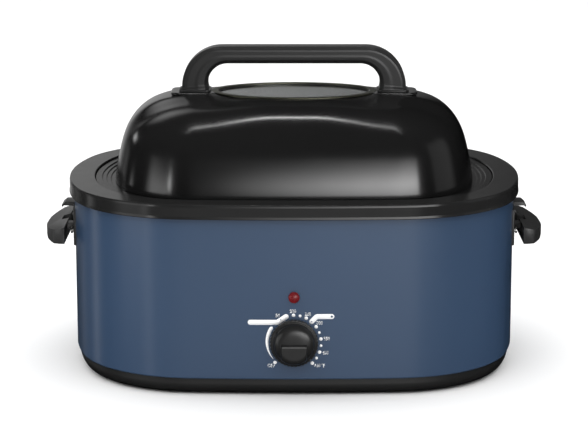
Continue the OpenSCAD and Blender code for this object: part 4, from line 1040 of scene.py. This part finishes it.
class ROASTER_OT_dial(PieceOperator):
    """White dial print on the wall: dots, figures, the crescent and two bare bars"""

    bl_idname = "roaster.dial"
    bl_label = "Dial Print"

    def execute(self, context):
        sizes, finishes = context.scene.roaster_knob, context.scene.roaster_finishes
        bow = context.scene.roaster_body.front_bow / MM
        ink = Print(bow)
        ring = sizes.ring / MM
        off_angle, first_angle, step_angle = 225.6, 118.7, 13.85
        tall, lowered = 1.05, 0.5
        for mark in range(-1, 13):
            angle = math.radians(off_angle if mark < 0 else first_angle - step_angle * mark)
            large = mark < 0 or mark % 2 == 0
            under_a_bar = mark in (0, 1, 5)
            if not under_a_bar:
                x, z = ring * math.cos(angle), tall * ring * math.sin(angle) - lowered
                ink.dot(x, z, 1.9 if large else 1.5)
        for text, x, z in (
            ("150", -18.4, 29.2), ("200", -1.1, 33.8), ("250", 14.6, 30.6), ("300", 27.0, 21.2),
            ("350", 34.6, 3.8), ("400", 33.2, -11.7), ("450 °F", 27.2, -25.9), ("OFF", -24.3, -25.8),
        ):
            ink.text(text, x, z, sizes.figures / MM)
        ink.crescent(ring - 0.2, math.radians(143), math.radians(220), 1.9)
        ink.bar([(-46.4, 21.9), (-18.0, 21.9), (-8.4, 28.2)], 2.75, 4)
        ink.bar([(18.7, 22.8), (24.0, 28.2), (40.0, 28.2)], 2.7, 3)
        white = matt("dial_print_white", finishes.print, 0.5, scale=700, contrast=0.02, depth=0.02)
        settle(ink.shell.build("dial_print"), white, "housing", "white_plastic")
        gaps = Print(bow, lift=0.16)
        for x, z, radius in ((-13.9, 24.7, 0.7), (18.7, 22.8, 0.7), (40.0, 28.2, 1.2)):
            gaps.dot(x, z, radius)
        paint = painted("dial_gap_paint", finishes.paint, 0.4)
        settle(gaps.shell.build("dial_print_gaps"), paint, "housing", "blue_paint")
        return {"FINISHED"}


class Print:
    """Thin closed shapes on the bowed front wall, placed by (x, z) in millimetres from the knob's axis."""

    SUNK = 0.05          # How far the shapes reach into the wall
    LETTER_SIZE = 1.38   # A letter's size for a figure's height of 1
    LETTER_WIDTH = 0.86  # The letters are narrowed to this share
    LETTER_WEIGHT = 0.23  # How far the letters' outline is moved out

    def __init__(self, bow, lift=0.08):
        self.shell, self.bow, self.lift = Shell(), bow, lift
        self.front = box_mm("housing_wall")[0][1]
        self.axis = knob_axis()

    def wrap(self, x, z, out):
        """The point on the wall at (x, z), moved out: the bow's depth is x^2 / (2 radius)."""
        return np.stack([x, self.front + x**2 / (2 * self.bow) - out, self.axis + z], -1)

    def slab(self, rims):
        """A closed slab from nested rims (count, points, 2): back face, edge and front face."""
        rims = np.asarray(rims, float)
        back = self.wrap(rims[..., 0], rims[..., 1], -self.SUNK)
        front = self.wrap(rims[..., 0], rims[..., 1], self.lift)
        self.shell.grid(np.concatenate([back, front[::-1]]))

    def dot(self, x, z, radius):
        """A round spot."""
        angles = np.linspace(0, 2 * math.pi, 25)[:-1]
        circle = np.stack([np.cos(angles), np.sin(angles)], -1)
        self.slab([(x, z) + circle * r for r in (0, radius)])

    def ribbon(self, centres, normals, halves):
        """A slab along a line: its two sides are halves away from the centres."""
        left, right = centres + normals * halves[:, None], centres - normals * halves[:, None]
        sides = ((left, -self.SUNK), (left, self.lift), (right, self.lift), (right, -self.SUNK))
        rows = np.array([self.wrap(*side.T, out) for side, out in sides])
        ends = [np.repeat(rows[:, k].mean(0)[None], 4, 0)[:, None] for k in (0, -1)]
        self.shell.grid(np.concatenate([ends[0], rows, ends[1]], 1).transpose(1, 0, 2))

    def crescent(self, radius, start, stop, half):
        """A ribbon round the dial that is thickest near its start and tapers to its end."""
        t = np.linspace(0, 1, 49)
        angles = start + (stop - start) * t
        way = np.stack([np.cos(angles), np.sin(angles)], -1)
        halves = half * np.sqrt(np.clip(t / 0.05, 0, 1)) * np.cos(t * math.pi / 2) ** 0.9 + 0.05
        self.ribbon(way * radius, way, halves)

    def bar(self, corners, half, bend):
        """A ribbon with round ends: its half width falls as a circle beyond the first and last corner."""
        bends = [0, *[bend] * (len(corners) - 2), 0]
        path = rounded([(x, z, r) for (x, z), r in zip(corners, bends)], steps=8, hold=0.5)
        first = path[0] - path[1]
        last = path[-1] - path[-2]
        run = np.sin(np.linspace(0, math.pi / 2, 10))[:, None] * half
        head = path[0] + first / np.hypot(*first) * run[:0:-1]
        tail = path[-1] + last / np.hypot(*last) * run[1:]
        full = np.vstack([head, path, tail])
        over = np.concatenate([run[:0:-1, 0], np.zeros(len(path)), run[1:, 0]])
        way = np.gradient(full, axis=0)
        way /= np.hypot(*way.T)[:, None]
        self.ribbon(full, np.stack([-way[:, 1], way[:, 0]], -1), np.sqrt(half**2 - over**2) + 0.01)

    def text(self, body, x, z, height):
        """Lettering centred on (x, z): its outline is filled, made a slab and wrapped on the wall."""
        curve = bpy.data.curves.new("figures", "FONT")
        curve.body, curve.size = body, height * self.LETTER_SIZE
        curve.align_x, curve.align_y = "CENTER", "CENTER"
        curve.extrude, curve.offset = (self.lift + self.SUNK) / 2, self.LETTER_WEIGHT
        holder = bpy.data.objects.new("figures", curve)
        bpy.context.scene.collection.objects.link(holder)
        bpy.context.view_layer.update()
        mesh = bpy.data.meshes.new_from_object(holder.evaluated_get(bpy.context.evaluated_depsgraph_get()))
        points = np.zeros(len(mesh.vertices) * 3)
        mesh.vertices.foreach_get("co", points)
        wide, tall, out = points.reshape(-1, 3).T
        placed = self.wrap(self.LETTER_WIDTH * wide + x, tall + z, out + (self.lift - self.SUNK) / 2)
        corners = [list(face.vertices) for face in mesh.polygons]
        self.shell.points.append(placed)
        # A triangle is written as a quad whose last corner comes twice, and loses it again in the merging
        self.shell.quads.append(np.array([(face + face[-1:])[:4] for face in corners]) + self.shell.count)
        self.shell.count += len(placed)
        bpy.data.objects.remove(holder)
        bpy.data.meshes.remove(mesh)


class ROASTER_OT_small_parts(PieceOperator):
    """Finishes of the parts that keep their own shape: lamp, gasket, screws, feet, rack and the inside"""

    bl_idname = "roaster.small_parts"
    bl_label = "Small Parts"

    def execute(self, context):
        finishes = context.scene.roaster_finishes
        zinc = metal("plated_screws", (0.62, 0.62, 0.60), 0.3, grain=(1, 1, 1))
        steel = metal("rack_wire_chrome", (0.66, 0.66, 0.65), 0.22, grain=(1, 1, 1))
        dress(zinc, "base_screws", "band_clamp_screw", "thermostat_bracket", "thermostat_screws",
              "terminal_screws", "left_handle_screws", "right_handle_screws", "lid_handle_screws",
              "knob_spring_clip", "thermostat_shaft", "well_standoffs")
        dress(steel, "rack_frame", "rack_cross_wires", "rack_lift_handles")
        dress(matt("black_foot_rubber", (0.02, 0.02, 0.02), 0.75), "rubber_feet", "cord_bushing")
        dress(matt("window_gasket_rubber", (0.03, 0.03, 0.03), 0.7), "window_gasket")
        dress(matt("band_mica", (0.42, 0.33, 0.2), 0.5, scale=90, contrast=0.25), "heating_band")
        dress(matt("blanket_fibre", (0.86, 0.8, 0.56), 0.95, scale=420, contrast=0.2, depth=0.6),
              "insulation_blanket")
        ceramic = matt("thermostat_ceramic", (0.78, 0.74, 0.64), 0.55, scale=160)
        dress(ceramic, "thermostat_body", "terminal_block")
        dress(matt("lamp_holder_plastic", (0.8, 0.8, 0.78), 0.45), "lamp_holder")
        dress(matt("supply_lead_cover", (0.02, 0.02, 0.022), 0.5), "supply_leads")
        dress(matt("heater_lead_cover", (0.8, 0.77, 0.7), 0.8), "heater_leads")
        dress(matt("lamp_lead_cover", (0.5, 0.02, 0.015), 0.5), "lamp_leads")
        dress(clear("neon_bulb_glass", (1.0, 0.62, 0.4), 0.05, 0.85), "neon_bulb")
        lens = Finish(
            "red_lens_plastic", Transmission_Weight=0.35, IOR=1.5, Coat_Weight=0.1, Coat_Roughness=0.2,
            Specular_IOR_Level=0.3,
        )
        cloud = lens.noise(500, detail=2)
        lens.set("Base Color", lens.tint(cloud, shade(finishes.lens, 0.7), shade(finishes.lens, 1.0)))
        lens.set("Roughness", 0.24 + 0.08 * cloud)
        dress(lens.material, "lamp_lens")
        return {"FINISHED"}


# ---- Stage ----


class ROASTER_OT_stage(PieceOperator):
    """Pale floor, soft studio lights and the camera"""

    bl_idname = "roaster.stage"
    bl_label = "Stage"

    def execute(self, context):
        sizes, finishes = context.scene.roaster_stage, context.scene.roaster_finishes
        place_floor(finishes)
        place_lights(context.scene)
        place_camera(context.scene, sizes)
        context.scene.view_settings.view_transform = "Standard"
        return {"FINISHED"}


def place_floor(finishes):
    """A flat disc, radius and angle as its two parameters. Its paint fades out between 2.5 m and 5 m."""
    fade, last = 2.5, 5.0
    radii = np.array([0, 0.5, 1, 2, 4, 8, 14.0]) / MM
    angles = np.linspace(0, 2 * math.pi, 97)[:-1]
    x, y = radii[:, None] * np.cos(angles), radii[:, None] * np.sin(angles)
    floor = Shell().grid(np.dstack([x, y, np.full(x.shape, -0.2)])).build("studio_floor")
    pale = Finish("studio_floor_paint", Specular_IOR_Level=0.1)
    cloud = pale.noise(3, detail=2)
    pale.set("Base Color", pale.tint(cloud, shade(finishes.floor, 0.985), shade(finishes.floor, 1.0)))
    pale.set("Roughness", 0.85 + 0.05 * cloud)
    length_of = {"operation": "LENGTH"}
    away = pale.node("ShaderNodeVectorMath", output="Value", settings=length_of, Vector=pale.place)
    pale.set("Alpha", ((last - away) / fade).within())
    floor.data.materials.append(pale.material)
    floor.visible_glossy = False


# Each: name, azimuth, elevation, width and height in degrees as the object sees them, glow, and how much of
# the box its light takes to reach full strength from the low-azimuth side, the other side, the bottom and the
# top. Azimuth 0 is behind the camera, and 90 is to the right. The last value of overhead_strip is its bow:
# its lit band is bent, which helps to give the curved line of light along the lid's shoulder.
SOFT_BOXES = (
    ("front_box", 17.1, 6, 52, 23.5, 6.8, (0.42, 0.05, 0.66, 0.34)),
    ("front_low_box", -11, -13, 76, 22, 0.46, (0.7, 0.04, 0.1, 0.2)),
    ("left_corner_strip", -47, -14, 8, 18, 0.9, (0.3, 0.3, 0.1, 0.1)),
    ("left_strip", -42, 7.5, 6, 12, 7.0, (0.3, 0.3, 0.4, 0.4)),
    ("left_wide_strip", -62, 0, 36, 28, 1.5, (0.3, 0.1, 0.3, 0.28)),
    ("left_end_strip", -110, -10, 11, 26, 0.72, (0.3, 0.3, 0.2, 0.2)),
    ("left_back_low_box", -138, -10, 26, 26, 0.12, (0.4, 0.4, 0.2, 0.2)),
    ("left_back_strip", -132, 13, 22, 10, 1.5, (0.4, 0.4, 0.3, 0.3)),
    ("right_box", 88, 14, 46, 50, 0.22, (0.1, 0.3, 0.2, 0.3)),
    ("overhead_strip", 180, 88.7, 34, 30, 17.0, (0.45, 0.35, 0.35, 0.35), 0.86),
    ("back_box", -171, 2, 46, 34, 0.37, (0.57, 0.25, 0.1, 0.1)),
    ("back_high_box", -157, 35, 28, 22, 0.6, (0.4, 0.4, 0.4, 0.4)),
    ("rear_strip", 180, 30, 12, 5, 1.6, (0.4, 0.4, 0.3, 0.3)),
)
# Large lights that brighten surfaces but don't show in reflections, with the same first six values
FILL_BOXES = (
    ("ceiling_fill", 0, 89.9, 120, 120, 1.0),
    ("front_fill", -18, 35, 50, 40, 0.58),
)


def place_lights(scene):
    """The world shows white to the camera and lights the scene more softly; the boxes shape it."""
    world = bpy.data.worlds.new("studio")
    world.use_nodes = True
    sky = Graph(world.node_tree)
    seen = sky.node("ShaderNodeLightPath", output="Is Camera Ray")
    sky.put(sky.tree.nodes["Background"].inputs["Color"], (1, 1, 1))
    sky.put(sky.tree.nodes["Background"].inputs["Strength"], 0.45 + 0.55 * seen)
    world.cycles_visibility.glossy = False
    scene.world = world
    for name, *place in SOFT_BOXES:
        holder = place_box(scene, name, *place)
        holder.visible_diffuse = False
    for name, *place in FILL_BOXES:
        holder = place_box(scene, name, *place)
        holder.visible_glossy = False


def place_box(scene, name, azimuth, elevation, wide, tall, glow, fades=None, bow=0.0):
    """A rectangular light 3 m from the object that faces it; its glow is in units of a white backdrop's.

    bow bends the lit band: its ends stand higher than its middle by that share of the box's height.
    """
    distance, centre = 3.0, np.array([0, 0, 0.2])
    turn, rise = math.radians(azimuth), math.radians(elevation)
    way = np.array([math.sin(turn) * math.cos(rise), -math.cos(turn) * math.cos(rise), math.sin(rise)])
    right = np.array([math.cos(turn), math.sin(turn), 0])
    width, height = (2 * distance * math.tan(math.radians(angle) / 2) for angle in (wide, tall))
    light = bpy.data.lights.new(name, "AREA")
    light.shape, light.size, light.size_y = "RECTANGLE", width, height
    light.energy = 4 * glow * width * height
    if fades:
        light.use_nodes = True
        graph = Graph(light.node_tree)
        point = graph.node("ShaderNodeNewGeometry", output="Position")
        spot = centre + way * distance
        strength, sag = 1.0, 0.0
        up, dot = np.cross(right, -way), {"operation": "DOT_PRODUCT"}
        for axis, span, lit, start, stop in (
            (right, width, 1.0, *fades[:2]), (up, height, 1.0 - bow, *fades[2:]),
        ):
            reach = graph.node("ShaderNodeVectorMath", output="Value", settings=dot, Vector=point)
            graph.put(reach.socket.node.inputs[1], tuple(axis))
            along = ((reach - float(spot @ axis)) / span + 0.5 - sag) / lit
            strength = strength * (along / start).within() * ((1.0 - along) / stop).within()
            sag = (2.0 * along - 1.0) * (2.0 * along - 1.0) * bow
        graph.put(graph.tree.nodes["Emission"].inputs["Strength"], strength)
    holder = bpy.data.objects.new(name, light)
    holder.location = centre + way * distance
    holder.rotation_euler = (math.pi / 2 - rise, 0, turn)
    holder.visible_camera = False
    scene.collection.objects.link(holder)
    return holder


def place_camera(scene, sizes):
    """A camera in front of the object, looking down on it by the elevation, with an upward shift."""
    camera = bpy.data.cameras.new("photo_view")
    camera.lens, camera.sensor_width, camera.shift_y = sizes.lens, 36, sizes.rise
    camera.sensor_fit = "HORIZONTAL"
    camera.clip_end = 60
    holder = bpy.data.objects.new("photo_view", camera)
    back, up = sizes.distance * math.cos(sizes.elevation), sizes.distance * math.sin(sizes.elevation)
    holder.location = (0, -back, sizes.look_height + up)
    holder.rotation_euler = (math.pi / 2 - sizes.elevation, 0, 0)
    scene.collection.objects.link(holder)
    scene.camera = holder


# ---- Add-on ----


class ROASTER_PT_panel(bpy.types.Panel):
    """Lists the sizes, the colours and the operators in their order"""

    bl_label = "Roaster Oven"
    bl_space_type = "VIEW_3D"
    bl_region_type = "UI"
    bl_category = "Roaster Oven"

    def draw(self, context):
        for group in GROUPS:
            settings = getattr(context.scene, group)
            for key in settings.__annotations__:
                self.layout.prop(settings, key)
        for step in STEPS:
            self.layout.operator(step.bl_idname)


GROUPS = {
    "roaster_body": BodySizes, "roaster_pan": PanSizes, "roaster_lid": LidSizes,
    "roaster_handles": HandleSizes, "roaster_knob": KnobSizes, "roaster_finishes": Finishes,
    "roaster_stage": StageSizes,
}
STEPS = (
    ROASTER_OT_housing, ROASTER_OT_base, ROASTER_OT_collar, ROASTER_OT_well, ROASTER_OT_pan, ROASTER_OT_lid,
    ROASTER_OT_window, ROASTER_OT_lid_handle, ROASTER_OT_side_handles, ROASTER_OT_knob, ROASTER_OT_dial,
    ROASTER_OT_small_parts, ROASTER_OT_stage,
)


def register():
    for kind in (*GROUPS.values(), *STEPS, ROASTER_PT_panel):
        bpy.utils.register_class(kind)
    for name, kind in GROUPS.items():
        setattr(bpy.types.Scene, name, PointerProperty(type=kind))


def unregister():
    for name in GROUPS:
        delattr(bpy.types.Scene, name)
    for kind in reversed((*GROUPS.values(), *STEPS, ROASTER_PT_panel)):
        bpy.utils.unregister_class(kind)


def main():
    """Builds everything in order."""
    register()
    for step in STEPS:
        group, name = step.bl_idname.split(".")
        getattr(getattr(bpy.ops, group), name)()


if __name__ == "__main__":
    main()
